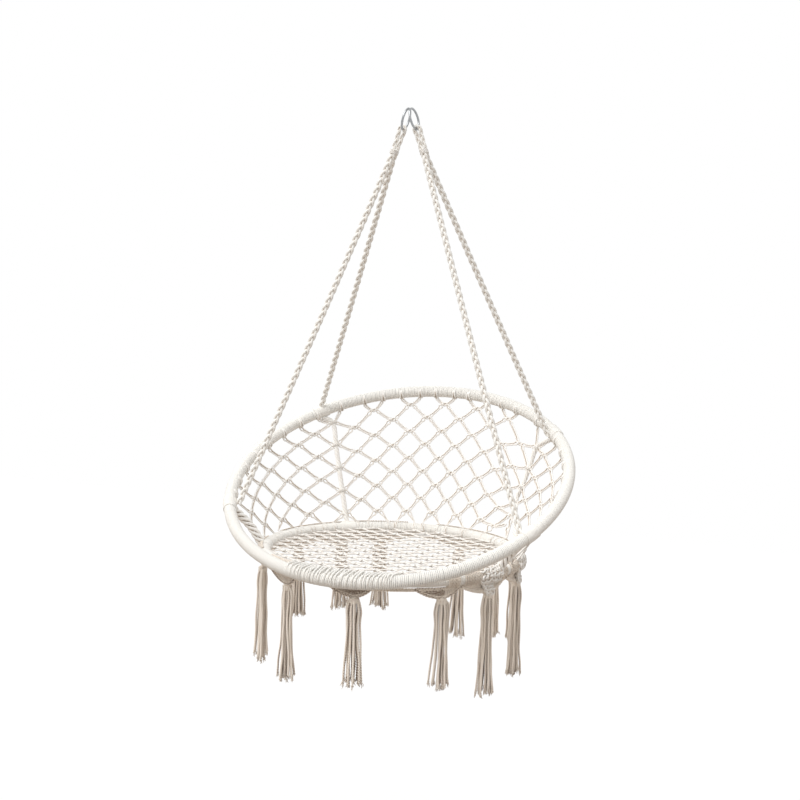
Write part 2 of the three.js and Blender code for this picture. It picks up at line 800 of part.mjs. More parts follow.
tasselTurnShares.forEach((turn, i) => {
  const number = String(i + 1).padStart(2, '0');
  addPiece(`tassel_${number}`, tasselSolid(turn, tasselDropShares[i]), taupe);
});

export default chair;
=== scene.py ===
import math
import random

import bpy
import bmesh
import numpy as np
from mathutils import Matrix, Vector


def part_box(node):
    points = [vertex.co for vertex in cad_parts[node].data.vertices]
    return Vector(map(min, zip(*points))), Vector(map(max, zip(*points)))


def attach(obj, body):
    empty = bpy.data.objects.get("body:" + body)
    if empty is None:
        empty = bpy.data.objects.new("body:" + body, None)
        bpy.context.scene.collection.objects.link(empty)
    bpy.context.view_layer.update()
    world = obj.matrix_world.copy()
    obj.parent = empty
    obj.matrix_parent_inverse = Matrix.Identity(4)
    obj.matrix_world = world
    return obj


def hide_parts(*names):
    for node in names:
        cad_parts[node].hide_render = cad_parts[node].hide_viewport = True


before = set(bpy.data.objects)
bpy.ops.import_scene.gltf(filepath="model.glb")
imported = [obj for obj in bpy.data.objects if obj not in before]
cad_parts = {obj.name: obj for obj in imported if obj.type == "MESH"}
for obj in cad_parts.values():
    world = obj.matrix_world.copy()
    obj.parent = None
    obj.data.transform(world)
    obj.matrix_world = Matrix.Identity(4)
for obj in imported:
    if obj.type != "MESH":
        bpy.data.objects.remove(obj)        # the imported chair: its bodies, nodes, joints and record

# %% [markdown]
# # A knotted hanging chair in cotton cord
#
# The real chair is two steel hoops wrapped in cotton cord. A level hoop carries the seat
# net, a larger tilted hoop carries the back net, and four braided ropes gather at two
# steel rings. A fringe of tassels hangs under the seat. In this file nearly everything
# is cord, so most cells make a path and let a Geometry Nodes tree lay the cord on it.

scene = bpy.context.scene
full_turn = 2 * math.pi
quarter = math.pi / 2
mm = 0.001
sideways, upright = Vector((1, 0, 0)), Vector((0, 0, 1))
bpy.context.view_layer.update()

# %% [markdown]
# ## The camera
#
# The chair was photographed from its front right, a little above the seat, with a
# longish lens. A camera could be placed by eye, but here its place, its turn and its
# lens come from a fit to what the photograph shows of the hoops, the rings, the rope
# ends and the tassel tips. The hoops help most, because circles say a lot about the
# place they are seen from. Their size is assumed, since the photograph has no scale.

# %% Camera
camera_place = Vector((1.0448, -2.9239, -0.3341))
camera_swing, camera_tip, camera_roll = (math.radians(v) for v in (19.71, 5.74, 1.84))
lens_mm = 62.13


def put(name, data):
    """A new object in the scene."""
    thing = bpy.data.objects.new(name, data)
    scene.collection.objects.link(thing)
    return thing


forward = Vector((
    -math.sin(camera_swing) * math.cos(camera_tip),
    math.cos(camera_swing) * math.cos(camera_tip),
    -math.sin(camera_tip),
))
level = Vector((math.cos(camera_swing), math.sin(camera_swing), 0))
right = level * math.cos(camera_roll) + level.cross(forward) * math.sin(camera_roll)
turned = Matrix((right, right.cross(forward), -forward)).transposed().to_4x4()

lens = bpy.data.cameras.new("camera")
lens.sensor_width = 36
lens.lens = lens_mm
camera = put("camera", lens)
camera.matrix_world = Matrix.Translation(camera_place) @ turned
scene.camera = camera
print("camera at", [round(v, 3) for v in camera_place], "lens", lens_mm)

# %% [markdown]
# ## Nodes with short calls
#
# Both materials and Geometry Nodes trees are built from nodes. One helper adds a node,
# sets its options and fills its inputs, either with a plain value or with what another
# node gives. What it returns can be summed with the usual signs, and each sign adds a
# node of its own, so that a tree reads like a formula.

# %% Node helpers
class Field:
    """One output of a node, and the sums that can be made with it."""

    def __init__(self, tree, node, output):
        self.tree, self.node, self.output = tree, node, output

    def __getitem__(self, output):
        """Another output of the same node."""
        return Field(self.tree, self.node, output)

    def maths(self, operation, second=0.0, third=0.0):
        return add(self.tree, "ShaderNodeMath", {0: self, 1: second, 2: third},
                   operation=operation)

    def __add__(self, other):
        return self.maths("ADD", other)

    def __sub__(self, other):
        return self.maths("SUBTRACT", other)

    def __mul__(self, other):
        return self.maths("MULTIPLY", other)

    def __truediv__(self, other):
        return self.maths("DIVIDE", other)

    def arrow(self, operation, second=(0, 0, 0), output=0):
        """One sum on vectors."""
        return add(self.tree, "ShaderNodeVectorMath", {0: self, 1: second}, output,
                   operation=operation)

    def scaled(self, size):
        return add(self.tree, "ShaderNodeVectorMath", {0: self, "Scale": size},
                   operation="SCALE")

    def mapped(self, start, end, low=0.0, high=1.0, **settings):
        """The value moved from one range to another."""
        ranges = {"From Min": start, "From Max": end, "To Min": low, "To Max": high}
        return add(self.tree, "ShaderNodeMapRange", {"Value": self, **ranges}, **settings)


def add(tree, kind, inputs=None, output=0, **settings):
    """Adds one node, sets its options, and fills its inputs with values or fields."""
    node = tree.nodes.new(kind)
    for name, value in settings.items():
        setattr(node, name, value)
    for name, value in (inputs or {}).items():
        if isinstance(value, Field):
            tree.links.new(value.node.outputs[value.output], node.inputs[name])
        else:
            node.inputs[name].default_value = value
    return Field(tree, node, output)


def joined(tree, x, y, z):
    """A vector of three numbers."""
    return add(tree, "ShaderNodeCombineXYZ", {0: x, 1: y, 2: z})


def empty_tree(owner):
    """The node tree of a world or a material, with nothing in it."""
    owner.use_nodes = True
    owner.node_tree.nodes.clear()
    return owner.node_tree


# %% [markdown]
# ## The light and the floor
#
# The photograph is lit from all round, with a little more light from above, so that
# white cord keeps a soft grey underside. A grey world gives the light from all round
# and one large soft lamp gives the rest. Only what the camera sees directly is made
# white, with the Light Path node, so that the white never adds light to the chair. The
# floor fades into that white away from the chair, and keeps the shadow below it. What it
# sends back up is dim and warm, which gives the cords their brownish undersides.

# %% World, lamp and floor
white = (1, 1, 1, 1)
world_strength, lamp_strength = 0.67, 2.1
lamp_tip, lamp_lean, lamp_width = (math.radians(v) for v in (28, -22, 50))
paper_colour = (0.4, 0.34, 0.29, 1)
paper_glow = 1.05
floor_height, floor_side = -2.1, 12.0


def seen_directly(tree):
    """1 for camera, mirror and glass rays, 0 for the rays that carry light."""
    path = add(tree, "ShaderNodeLightPath")
    either = path["Is Camera Ray"].maths("MAXIMUM", path["Is Glossy Ray"])
    return either.maths("MAXIMUM", path["Is Transmission Ray"])


world = bpy.data.worlds.new("studio")
scene.world = world
tree = empty_tree(world)
glow = add(tree, "ShaderNodeBackground", {"Color": white, "Strength": world_strength})
backdrop = add(tree, "ShaderNodeBackground", {"Color": white, "Strength": 1.0})
sky = add(tree, "ShaderNodeMixShader", {0: seen_directly(tree), 1: glow, 2: backdrop})
add(tree, "ShaderNodeOutputWorld", {"Surface": sky})

lamp = bpy.data.lights.new("soft_key", "SUN")
lamp.energy = lamp_strength
lamp.angle = lamp_width
put("soft_key", lamp).rotation_euler = (lamp_tip, lamp_lean, 0)

plane = bmesh.new()
bmesh.ops.create_grid(plane, x_segments=8, y_segments=8, size=floor_side / 2,
                      matrix=Matrix.Translation((0, 0, floor_height)))
floor_mesh = bpy.data.meshes.new("floor")
plane.to_mesh(floor_mesh)
plane.free()
floor = put("floor", floor_mesh)

paper = bpy.data.materials.new("studio_paper")
tree = empty_tree(paper)
matt = add(tree, "ShaderNodeBsdfDiffuse", {"Color": paper_colour})
lift = add(tree, "ShaderNodeEmission", {"Color": white, "Strength": paper_glow})
place = add(tree, "ShaderNodeTexCoord", output="Object")
away = place.arrow("MULTIPLY", (1, 1, 0)).arrow("LENGTH", output="Value")
share = seen_directly(tree) * away.mapped(0.8, 2.2, 0.88, 1.0)
look = add(tree, "ShaderNodeMixShader", {0: share, 1: matt, 2: lift})
add(tree, "ShaderNodeOutputMaterial", {"Surface": look})
floor_mesh.materials.append(paper)
scene.view_settings.view_transform = "Standard"
print("floor at", floor_height)

# %% [markdown]
# ## Cotton and taupe cord
#
# Macrame cord is loosely twisted cotton. Close to, three yarns wind round each other
# and each yarn is a bundle of fine fibres. The shape of the cords comes from the trees
# further down, and the material adds what is finer than their faces: the yarns as
# bump that winds round the cord, fibres along them, and small changes of tone. The
# grooves between the yarns are painted darker, as painted shade. The trees store how far
# along the cord a point is, where round it, and a share of painted shade, which grows
# where it faces into the crease between two plies or into its bunch; by that share the
# material mixes in a dark colour, as painted shade.

# %% Cord material
yarns = 3.0
fibres_round, fibres_along = 1.6, 420.0


def colour(red, green, blue):
    """A colour as it is seen on screen, turned into the linear values that nodes use."""
    shares = [value / 255 for value in (red, green, blue)]
    return (*(s / 12.92 if s <= 0.04045 else ((s + 0.055) / 1.055) ** 2.4 for s in shares), 1)


def noise(tree, place, scale, detail, **inputs):
    return add(tree, "ShaderNodeTexNoise",
               {"Vector": place, "Scale": scale, "Detail": detail, **inputs}, "Fac")


def blend(tree, share, first, second):
    """One colour that turns into another."""
    return add(tree, "ShaderNodeMix", {0: share, 6: first, 7: second}, 2, data_type="RGBA")


def finish_material(tree, height, distance, strength, **skin):
    """Ends a material with its bump and its surface."""
    bump = add(tree, "ShaderNodeBump", {"Height": height, "Distance": distance,
                                        "Strength": strength})
    inputs = {label.replace("_", " "): value for label, value in skin.items()}
    skin = add(tree, "ShaderNodeBsdfPrincipled", {**inputs, "Normal": bump})
    add(tree, "ShaderNodeOutputMaterial", {"Surface": skin})


def cord_material(name, light, dark, painted_shade_colour, yarn_pitch, depth=0.35):
    """Twisted cotton cord with two tones, painted shade in creases, and yarns that wind at one pitch.
    """
    material = bpy.data.materials.new(name)
    tree = empty_tree(material)
    along, tone, painted_shade = (
        add(tree, "ShaderNodeAttribute", output="Fac", attribute_name=f"cord_{label}")
        for label in ("length", "tone", "painted_shade"))
    around = add(tree, "ShaderNodeAttribute", output="Vector", attribute_name="cord_around")
    place = add(tree, "ShaderNodeTexCoord", output="Object")
    sides = add(tree, "ShaderNodeSeparateXYZ", {0: around})
    angle = sides["Y"].maths("ARCTAN2", sides["X"])
    wound = along.maths("MULTIPLY_ADD", full_turn / yarn_pitch, angle * yarns)
    ridge = (wound * 0.5).maths("COSINE").maths("ABSOLUTE")
    fibre_place = joined(tree, wound * fibres_round, along * fibres_along, tone * 40.0)
    fibre = noise(tree, fibre_place, 1.0, 3.0, Roughness=0.6)
    worn = noise(tree, place, 34.0, 2.0).maths("MULTIPLY_ADD", 0.5, tone * 0.5)
    # Painted shade and random tone: the grooves between yarns are darker, mixed with noise.
    yarn_shade_and_tone = ridge.maths("MULTIPLY_ADD", 0.55, worn * 0.7)
    paint = blend(tree, yarn_shade_and_tone.mapped(0.15, 0.75), dark, light)
    # Painted shade: the dark crease colour is mixed in by the painted shade share.
    deep = painted_shade.mapped(-0.1, 0.75, interpolation_type="SMOOTHSTEP")
    finish_material(tree, fibre.maths("MULTIPLY_ADD", 0.45, ridge), 0.0008, depth,
                    Base_Color=blend(tree, deep, paint, painted_shade_colour),
                    Roughness=fibre.mapped(0.0, 1.0, 0.75, 0.95),
                    Specular_IOR_Level=0.25, Sheen_Weight=0.25, Sheen_Roughness=0.6)
    return material


# The third colour of each cord is painted shade, for its creases, folds and bunches.
cotton = cord_material("natural_cotton", colour(252, 250, 246), colour(236, 229, 220),
                       colour(212, 198, 182), 0.0085)
wrap_cotton = cord_material("wrap_cotton", colour(247, 245, 240), colour(241, 236, 229),
                            colour(228, 219, 208), 0.006)
taupe = cord_material("taupe_cotton", colour(252, 243, 231), colour(226, 208, 188),
                      colour(112, 77, 46), 0.0075, depth=0.7)
print("cords:", cotton.name, wrap_cotton.name, taupe.name)

# %% [markdown]
# ## Steel
#
# The two rings are thin grey wire. That they are drawn, welded shut and zinc plated is a
# guess from how such rings are made, and so are their fine scratches. The hoops under
# the wraps are plain tube and show only as grey slits, so the same steel does for both.

# %% Steel material
def steel_material(name, shade, rough):
    """Satin steel with fine scratches and a slightly uneven finish."""
    material = bpy.data.materials.new(name)
    tree = empty_tree(material)
    place = add(tree, "ShaderNodeTexCoord", output="Object")
    streaks, patches = noise(tree, place, 900.0, 4.0), noise(tree, place, 90.0, 2.0)
    darker = (*(v * 0.72 for v in shade[:3]), 1)
    finish_material(tree, streaks, 0.0001, 0.25, Metallic=1.0,
                    Base_Color=blend(tree, patches, darker, shade),
                    Roughness=patches.mapped(0.0, 1.0, rough - 0.1, rough + 0.12))
    return material


ring_steel = steel_material("ring_steel", colour(176, 178, 180), 0.32)
tube_steel = steel_material("tube_steel", colour(150, 150, 150), 0.5)
for node in ("large_hoop_tube", "seat_hoop_tube"):
    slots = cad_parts[node].data.materials
    slots.clear()
    slots.append(tube_steel)
print("steel:", ring_steel.name, tube_steel.name)

# %% [markdown]
# ## A tree's start and its use
#
# A Geometry Nodes tree needs named inputs, an object to run on, and a way to become a
# plain mesh. The first helper gives a tree its sizes as named inputs. The last runs it
# on a guide: it sets each input by its identifier before Blender looks at the object,
# keeps the finished mesh, throws the guide away, and fastens the piece to its body.

# %% Trees and how they run
slot_names = {"natural_cotton": "cotton_cord", "wrap_cotton": "cotton_cord",
              "taupe_cotton": "taupe_cord"}


def new_tree(name, sizes, painted=True):
    """An empty tree with one input for the geometry, the material and each size."""
    tree = bpy.data.node_groups.new(name, "GeometryNodeTree")
    face = tree.interface
    face.new_socket("Geometry", in_out="INPUT", socket_type="NodeSocketGeometry")
    if painted:
        face.new_socket("Material", in_out="INPUT", socket_type="NodeSocketMaterial")
    for label, value in sizes.items():
        kind = "NodeSocketInt" if isinstance(value, int) else "NodeSocketFloat"
        face.new_socket(label, in_out="INPUT", socket_type=kind).default_value = value
    face.new_socket("Geometry", in_out="OUTPUT", socket_type="NodeSocketGeometry")
    return tree, add(tree, "NodeGroupInput")


def close_tree(given, geometry):
    """Ends a tree: smooth faces, real geometry instead of instances, and the material."""
    tree = given.tree
    smooth = add(tree, "GeometryNodeSetShadeSmooth", {"Geometry": geometry})
    real = add(tree, "GeometryNodeRealizeInstances", {0: smooth})
    painted = add(tree, "GeometryNodeSetMaterial", {"Geometry": real,
                                                    "Material": given["Material"]})
    add(tree, "NodeGroupOutput", {0: painted})
    print("tree", tree.name, "with", len(tree.nodes), "nodes")


def finish_piece(piece, body, slot, *nodes):
    """Fastens a finished piece to its body and hides the imported parts it stands for."""
    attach(piece, body)
    if nodes:
        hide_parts(*nodes)


def grow(name, guide, tree, material, *nodes, body="chair", turned=Matrix(), **sizes):
    """Runs a tree on a guide mesh and keeps the result as a plain, fastened piece."""
    seed = put(name + "_guide", guide)
    step = seed.modifiers.new("grow", "NODES")
    step.node_group = tree
    wanted = {label.replace("_", " "): value for label, value in sizes.items()}
    wanted["material"] = material
    for item in tree.interface.items_tree:
        if item.in_out == "INPUT" and item.name.lower() in wanted:
            step[item.identifier] = wanted.pop(item.name.lower())
    if wanted:
        raise ValueError(f"{tree.name} has no input named {sorted(wanted)}")
    depsgraph = bpy.context.evaluated_depsgraph_get()
    mesh = bpy.data.meshes.new_from_object(
        seed.evaluated_get(depsgraph), preserve_all_data_layers=True, depsgraph=depsgraph)
    mesh.name = name
    mesh.transform(turned)
    bpy.data.objects.remove(seed)
    finish_piece(put(name, mesh), body, slot_names[material.name], *nodes)
    print(name, len(mesh.polygons), "faces")


# %% [markdown]
# ## Guides: where each cord runs
#
# A guide is a mesh of points and edges with no faces. Every chain of edges is one cord.
# Each point also says which way the cord faces, how thick it is, how far it may wander,
# how open its plies are, where its twist starts, which way it lies in its bunch, for
# painted shade on its inner side, and how much painted shade its colour gets. Curves could
# hold the paths as well, but a mesh takes any attribute we like.

# %% Guide builder
def write_arrows(mesh, label, values):
    """Stores one vector per point of a mesh."""
    arrow = mesh.attributes.new(label, "FLOAT_VECTOR", "POINT")
    arrow.data.foreach_set("vector", [v for value in values for v in value])


class Guides:
    """Collects cord paths and turns them into one guide mesh."""

    usual = {"thick": 1.0, "loose": 0.0, "open": 1.0, "phase": 0.0, "shade": 0.0}

    def __init__(self):
        self.points, self.edges = [], []
        self.arrows = {"facing": [], "bunch": []}
        self.numbers = {name: [] for name in self.usual}

    def lay(self, points, facing, closed=False, bunch=Vector(), **numbers):
        """Adds one cord, with one number of a kind for all its points or a list."""
        first, count = len(self.points), len(points)
        self.points += [Vector(p) for p in points]
        self.arrows["facing"] += [facing] * count
        self.arrows["bunch"] += [bunch] * count
        for name, value in {**self.usual, **numbers}.items():
            self.numbers[name] += value if isinstance(value, list) else [value] * count
        self.edges += [(first + i, first + i + 1) for i in range(count - 1)]
        if closed:
            self.edges.append((first + count - 1, first))

    def mesh(self, name):
        guide = bpy.data.meshes.new(name + "_guide")
        guide.from_pydata(self.points, self.edges, [])
        for label, values in self.arrows.items():
            write_arrows(guide, label, values)
        for label, values in self.numbers.items():
            guide.attributes.new(label, "FLOAT", "POINT").data.foreach_set("value", values)
        return guide


# %% [markdown]
# ## The skin of one cord
#
# Every tree below ends by giving its curves a round section, so that is a group of its
# own. It stores how far along the cord each point is, where round it, and one random
# tone per cord, which is what the materials read.

# %% Cord skin group
skin_group, given = new_tree(
    "cord_skin", {"Radius": 0.002, "Sides": 8, "Thick": 1.0, "Seed": 1}, painted=False)
tree = skin_group


def named(tree, name, kind="FLOAT"):
    """Reads a stored attribute."""
    return add(tree, "GeometryNodeInputNamedAttribute", {"Name": name}, "Attribute",
               data_type=kind)


def stored(geometry, name, value, kind="FLOAT"):
    """Stores a value on every point under a name."""
    return add(geometry.tree, "GeometryNodeStoreNamedAttribute",
               {"Geometry": geometry, "Name": name, "Value": value},
               data_type=kind, domain="POINT")


def chance(given, low, high):
    """A random number."""
    return add(given.tree, "FunctionNodeRandomValue", {2: low, 3: high, "Seed": given["Seed"]},
               1, data_type="FLOAT")


def cord_skin(curve, radius, sides, thick, seed):
    """Uses this group in another tree."""
    inputs = {"Geometry": curve, "Radius": radius, "Sides": sides, "Thick": thick, "Seed": seed}
    return add(curve.tree, "GeometryNodeGroup", inputs, node_tree=skin_group)


length = add(tree, "GeometryNodeSplineParameter", output="Length")
per_cord = add(tree, "GeometryNodeFieldOnDomain", {0: chance(given, 0.0, 1.0)},
               data_type="FLOAT", domain="CURVE")
curve = stored(stored(given["Geometry"], "cord_length", length), "cord_tone", per_cord)
circle = add(tree, "GeometryNodeCurvePrimitiveCircle",
             {"Resolution": given["Sides"], "Radius": given["Radius"]})
outwards = add(tree, "GeometryNodeInputPosition").arrow("NORMALIZE")
circle = stored(circle, "cord_around", outwards, "FLOAT_VECTOR")
tube = add(tree, "GeometryNodeCurveToMesh", {"Curve": curve, "Profile Curve": circle,
                                             "Scale": given["Thick"], "Fill Caps": True})
add(tree, "NodeGroupOutput", {0: tube})
print("skin group with", len(skin_group.nodes), "nodes")

# %% [markdown]
# ## The hoops
#
# The level hoop carries the seat, and the large hoop tilts up towards the back. Their
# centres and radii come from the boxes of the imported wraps, so that a cord laid on a
# hoop lies where the chair's solids are.

# %% Hoops
wrap_radius = 14 * mm
large_tilt = math.radians(25.8)


class Hoop:
    """A circle in space: where its middle is, how wide it is, and how far it tilts."""

    def __init__(self, node, tilt):
        low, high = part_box(node)
        self.centre = (low + high) / 2
        self.radius = (high.x - low.x) / 2 - wrap_radius
        self.turned = Matrix.Rotation(tilt, 4, "X")

    def at(self, turn, out=0.0, up=0.0):
        """A point by its share of a full turn from the front towards the right."""
        angle, reach = full_turn * turn, self.radius + out
        spot = Vector((reach * math.sin(angle), -reach * math.cos(angle), up))
        return self.centre + self.turned @ spot

    def along(self, turn):
        angle = full_turn * turn
        return (self.turned @ Vector((math.cos(angle), math.sin(angle), 0))).normalized()

    def outward(self, turn):
        return (self.at(turn) - self.centre).normalized()

    def share(self, length):
        """The share of a turn that a length along the hoop takes."""
        return length / (full_turn * self.radius)

    def turn_of(self, point):
        """The share of a turn at which a point is nearest."""
        spot = self.turned.inverted() @ (point - self.centre)
        return math.atan2(spot.x, -spot.y) / full_turn


large = Hoop("large_hoop_wrap", large_tilt)
seat = Hoop("seat_hoop_wrap", 0.0)
print("hoops", round(large.radius, 4), round(seat.radius, 4), large.centre, seat.centre)

# %% [markdown]
# ## Wrapped hoops
#
# Each hoop is wound from end to end with one thin cord, hundreds of turns side by side.
# Displacement on a torus would give ridges, but real cord on a helix also shows its
# own twist and small gaps. The tree puts a circle of many points on a helix round the
# hoop, nudges the turns so that they aren't perfectly even, and gives them the skin.

# %% Wound hoop tree
wound, given = new_tree("wound_hoop", {
    "Hoop Radius": 0.3, "Winding Radius": 0.012, "Turns": 400, "Points per Turn": 16,
    "Cord Radius": 0.002, "Sides": 6, "Unevenness": 0.0002, "Seed": 1,
})
count = given["Turns"] * given["Points per Turn"]
circle = add(wound, "GeometryNodeCurvePrimitiveCircle", {"Resolution": count, "Radius": 1.0})
share = add(wound, "GeometryNodeInputIndex") / count
rough = add(wound, "ShaderNodeTexNoise",
            {"W": share * (given["Turns"] * 0.9), "Scale": 1.0, "Detail": 1.0}, "Fac",
            noise_dimensions="1D")
uneven = (rough - 0.5) * given["Unevenness"]
around = share * full_turn + uneven / given["Hoop Radius"]
winding = share * given["Turns"] * full_turn
lift = uneven.maths("MULTIPLY_ADD", 0.5, given["Winding Radius"])
reach = winding.maths("COSINE").maths("MULTIPLY_ADD", lift, given["Hoop Radius"])
spot = joined(wound, reach * around.maths("SINE"), reach * (around.maths("COSINE") * -1.0),
              winding.maths("SINE") * lift)
helix = add(wound, "GeometryNodeSetPosition", {"Geometry": circle, "Position": spot})
close_tree(given, cord_skin(helix, given["Cord Radius"], given["Sides"], 1.0, given["Seed"]))

# %% Wind both hoops
wrap_cord, wrap_pitch = 3.6 * mm, 3.75 * mm
for name, hoop in (("large_hoop_wrap", large), ("seat_hoop_wrap", seat)):
    turns = round(full_turn * hoop.radius / wrap_pitch)
    grow(name + "_cord", bpy.data.meshes.new("empty"), wound, wrap_cotton, name,
         turned=Matrix.Translation(hoop.centre) @ hoop.turned, hoop_radius=hoop.radius,
         winding_radius=wrap_radius - wrap_cord / 2, turns=turns, points_per_turn=16,
         cord_radius=wrap_cord / 2, sides=6, unevenness=0.5 * mm, seed=3)
    print(name, turns, "turns")

# %% [markdown]
# ## Cords that twist and braid
#
# Ropes, net cords, legs, fringe and tassels all follow one rule: a few plies run along
# a path, each swinging across it in its own time. Swing in a circle gives a twisted
# rope. Swing once across and twice through gives the flat plait of three strands that
# the chair hangs from. One tree does both: it smooths the guide, lets it wander a
# little, copies it once per ply, pushes each copy aside, and gives it the skin.

# %% Plied cord tree
plied, given = new_tree("plied_cord", {
    "Plies": 3, "Pitch": 0.04, "Turns": 0.0, "Across": 0.0036, "Through": 0.0022,
    "Weave": 2.0, "Lead": 0.0, "Ply Radius": 0.003, "Sides": 8, "Step": 0.003,
    "Wander": 0.0, "Wander Scale": 12.0, "Seed": 1,
})
tree = plied
paths = add(tree, "GeometryNodeMeshToCurve", {0: given["Geometry"]})
paths = add(tree, "GeometryNodeCurveSplineType", {0: paths}, spline_type="CATMULL_ROM")
paths = add(tree, "GeometryNodeResampleCurve", {"Curve": paths, "Length": given["Step"]},
            mode="LENGTH")
drift = add(tree, "ShaderNodeTexNoise", {
    "Vector": add(tree, "GeometryNodeInputPosition"), "Scale": given["Wander Scale"],
    "Detail": 1.0, "W": named(tree, "phase").maths("MULTIPLY_ADD", 7.3, given["Seed"]),
}, "Color", noise_dimensions="4D")
drift = drift.arrow("SUBTRACT", (0.5, 0.5, 0.5)).scaled(given["Wander"] * named(tree, "loose"))
paths = add(tree, "GeometryNodeSetPosition", {"Geometry": paths, "Offset": drift})
copies = add(tree, "GeometryNodeDuplicateElements",
             {"Geometry": paths, "Amount": given["Plies"]}, domain="SPLINE")
tangent = add(tree, "GeometryNodeInputTangent")
through = tangent.arrow("CROSS_PRODUCT", named(tree, "facing", "FLOAT_VECTOR"))
through = through.arrow("NORMALIZE")
across = through.arrow("CROSS_PRODUCT", tangent)
spline = add(tree, "GeometryNodeSplineParameter")
swing = spline["Factor"].maths("MULTIPLY_ADD", given["Turns"], spline["Length"] / given["Pitch"])
swing = swing + copies["Duplicate Index"] / given["Plies"]
swing = (swing + named(tree, "phase")) * full_turn
out_across = swing.maths("SINE") * given["Across"]
second = swing.maths("MULTIPLY_ADD", given["Weave"], given["Lead"]).maths("SINE")
push = across.scaled(out_across).arrow("ADD", through.scaled(second * given["Through"]))
push = push.scaled(named(tree, "open"))
# Painted shade: a ply's side that faces its partner or into its bunch, plus the stated shade, sets
# how much dark crease colour it gets.
outer = push.arrow("NORMALIZE").arrow("ADD", named(tree, "bunch", "FLOAT_VECTOR"))
plies = stored(copies, "outer_side", outer, "FLOAT_VECTOR")
plies = add(tree, "GeometryNodeSetPosition", {"Geometry": plies, "Offset": push})
cord = cord_skin(plies, given["Ply Radius"], given["Sides"], named(tree, "thick"), given["Seed"])
outwards = add(tree, "GeometryNodeInputNormal").arrow(
    "DOT_PRODUCT", named(tree, "outer_side", "FLOAT_VECTOR"), "Value")
close_tree(given, stored(cord, "cord_painted_shade", named(tree, "shade") - outwards))

untwisted = 1000.0               # a turn of twist takes so many metres that there is none
pair = dict(plies=2, pitch=untwisted, turns=0.5, through=0.0)
braid = dict(plies=3, weave=2.0, lead=0.0)


def lay_cord(name, guides, material, *nodes, swing=0.0, **sizes):
    """Grows cord on guides, with plies that swing in a circle unless the sizes say more."""
    usual = dict(across=swing, through=swing, weave=1.0, lead=quarter)
    grow(name, guides.mesh(name), plied, material, *nodes, **{**usual, **sizes})


# %% [markdown]
# ## The rings
#
# Two welded rings of thin wire carry the whole chair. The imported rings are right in
# place and size but have few faces, so each is drawn again as a smooth torus in the
# same plane, with the little bead that a weld would leave.

# %% Rings
ring_wire, ring_radius = 2.5 * mm, 23.5 * mm
weld_swell, weld_place, weld_width = 0.12, math.radians(200), 0.09
around_steps, wire_steps = 120, 20
ring_middle = {}


def ring_frame(node):
    """The middle of a ring and the matrix that turns a flat ring into its plane."""
    spots = np.array([v.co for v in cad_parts[node].data.vertices])
    middle = (spots.max(0) + spots.min(0)) / 2
    _, ways = np.linalg.eigh(np.cov((spots - middle).T))
    normal = Vector(ways[:, 0])
    top = (upright - normal * normal.z).normalized()
    turned = Matrix((top.cross(normal), top, normal)).transposed().to_4x4()
    return Vector(middle), Matrix.Translation(middle) @ turned


for side in ("left", "right"):
    node = f"{side}_ring"
    ring_middle[side], turned = ring_frame(node)
    shape = bmesh.new()
    loops = []
    for i in range(around_steps):
        angle = full_turn * i / around_steps
        wire = ring_wire * (1 + weld_swell * math.exp(-((angle - weld_place) / weld_width) ** 2))
        loops.append([])
        for j in range(wire_steps):
            tip = full_turn * j / wire_steps
            reach = ring_radius + wire * math.cos(tip)
            loops[i].append(shape.verts.new((reach * math.cos(angle), reach * math.sin(angle),
                                             wire * math.sin(tip))))
    for i in range(around_steps):
        here, there = loops[i], loops[(i + 1) % around_steps]
        for j in range(wire_steps):
            k = (j + 1) % wire_steps
            shape.faces.new((here[j], there[j], there[k], here[k])).smooth = True
    shape.transform(turned)
    mesh = bpy.data.meshes.new(node + "_wire")
    shape.to_mesh(mesh)
    shape.free()
    mesh.materials.append(ring_steel)
    finish_piece(put(node + "_wire", mesh), "rings", "ring_steel", node)
print("rings at", ring_middle)

# %% [markdown]
# ## Ropes and eyes
#
# On each side one braid comes up from the front of the large hoop, goes through the
# ring and runs down to the back. Just under the ring its two halves are tied into an
# eye. So the path is one line per side: hoop, tie, a round loop over the wire, tie,
# hoop. The braid is thinner in the eye, where it is pulled tight.

# %% Ropes
rope_inset = 20.8 * mm
rope_ends = {
    "front_right": large.at(0.1767, out=-rope_inset),
    "front_left": large.at(-0.18, out=-rope_inset),
    "back_right": large.at(0.351, out=-0.8 * rope_inset),
    "back_left": large.at(-0.3642, up=wrap_radius * 0.6),
}
rope_steps, eye_steps = 24, 8
front_sag, back_sag = 3 * mm, 2 * mm
tie_depth, loop_half = 7.5 * mm, 6.3 * mm
rope_gap, eye_gap = 6.4 * mm, 3.6 * mm      # half the way from front to back, at the tie
eye_shape = ((0, 2.4), (12, 4.7), (30, 5.0))        # millimetres up from the tie and aside
slim_eye = 0.72


def centre_of(node):
    low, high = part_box(node)
    return (low + high) / 2


def bow(start, end, steps, sag):
    """A nearly straight line between two points with a slight sag."""
    return [start.lerp(end, i / steps) - upright * (sag * math.sin(math.pi * i / steps))
            for i in range(steps + 1)]


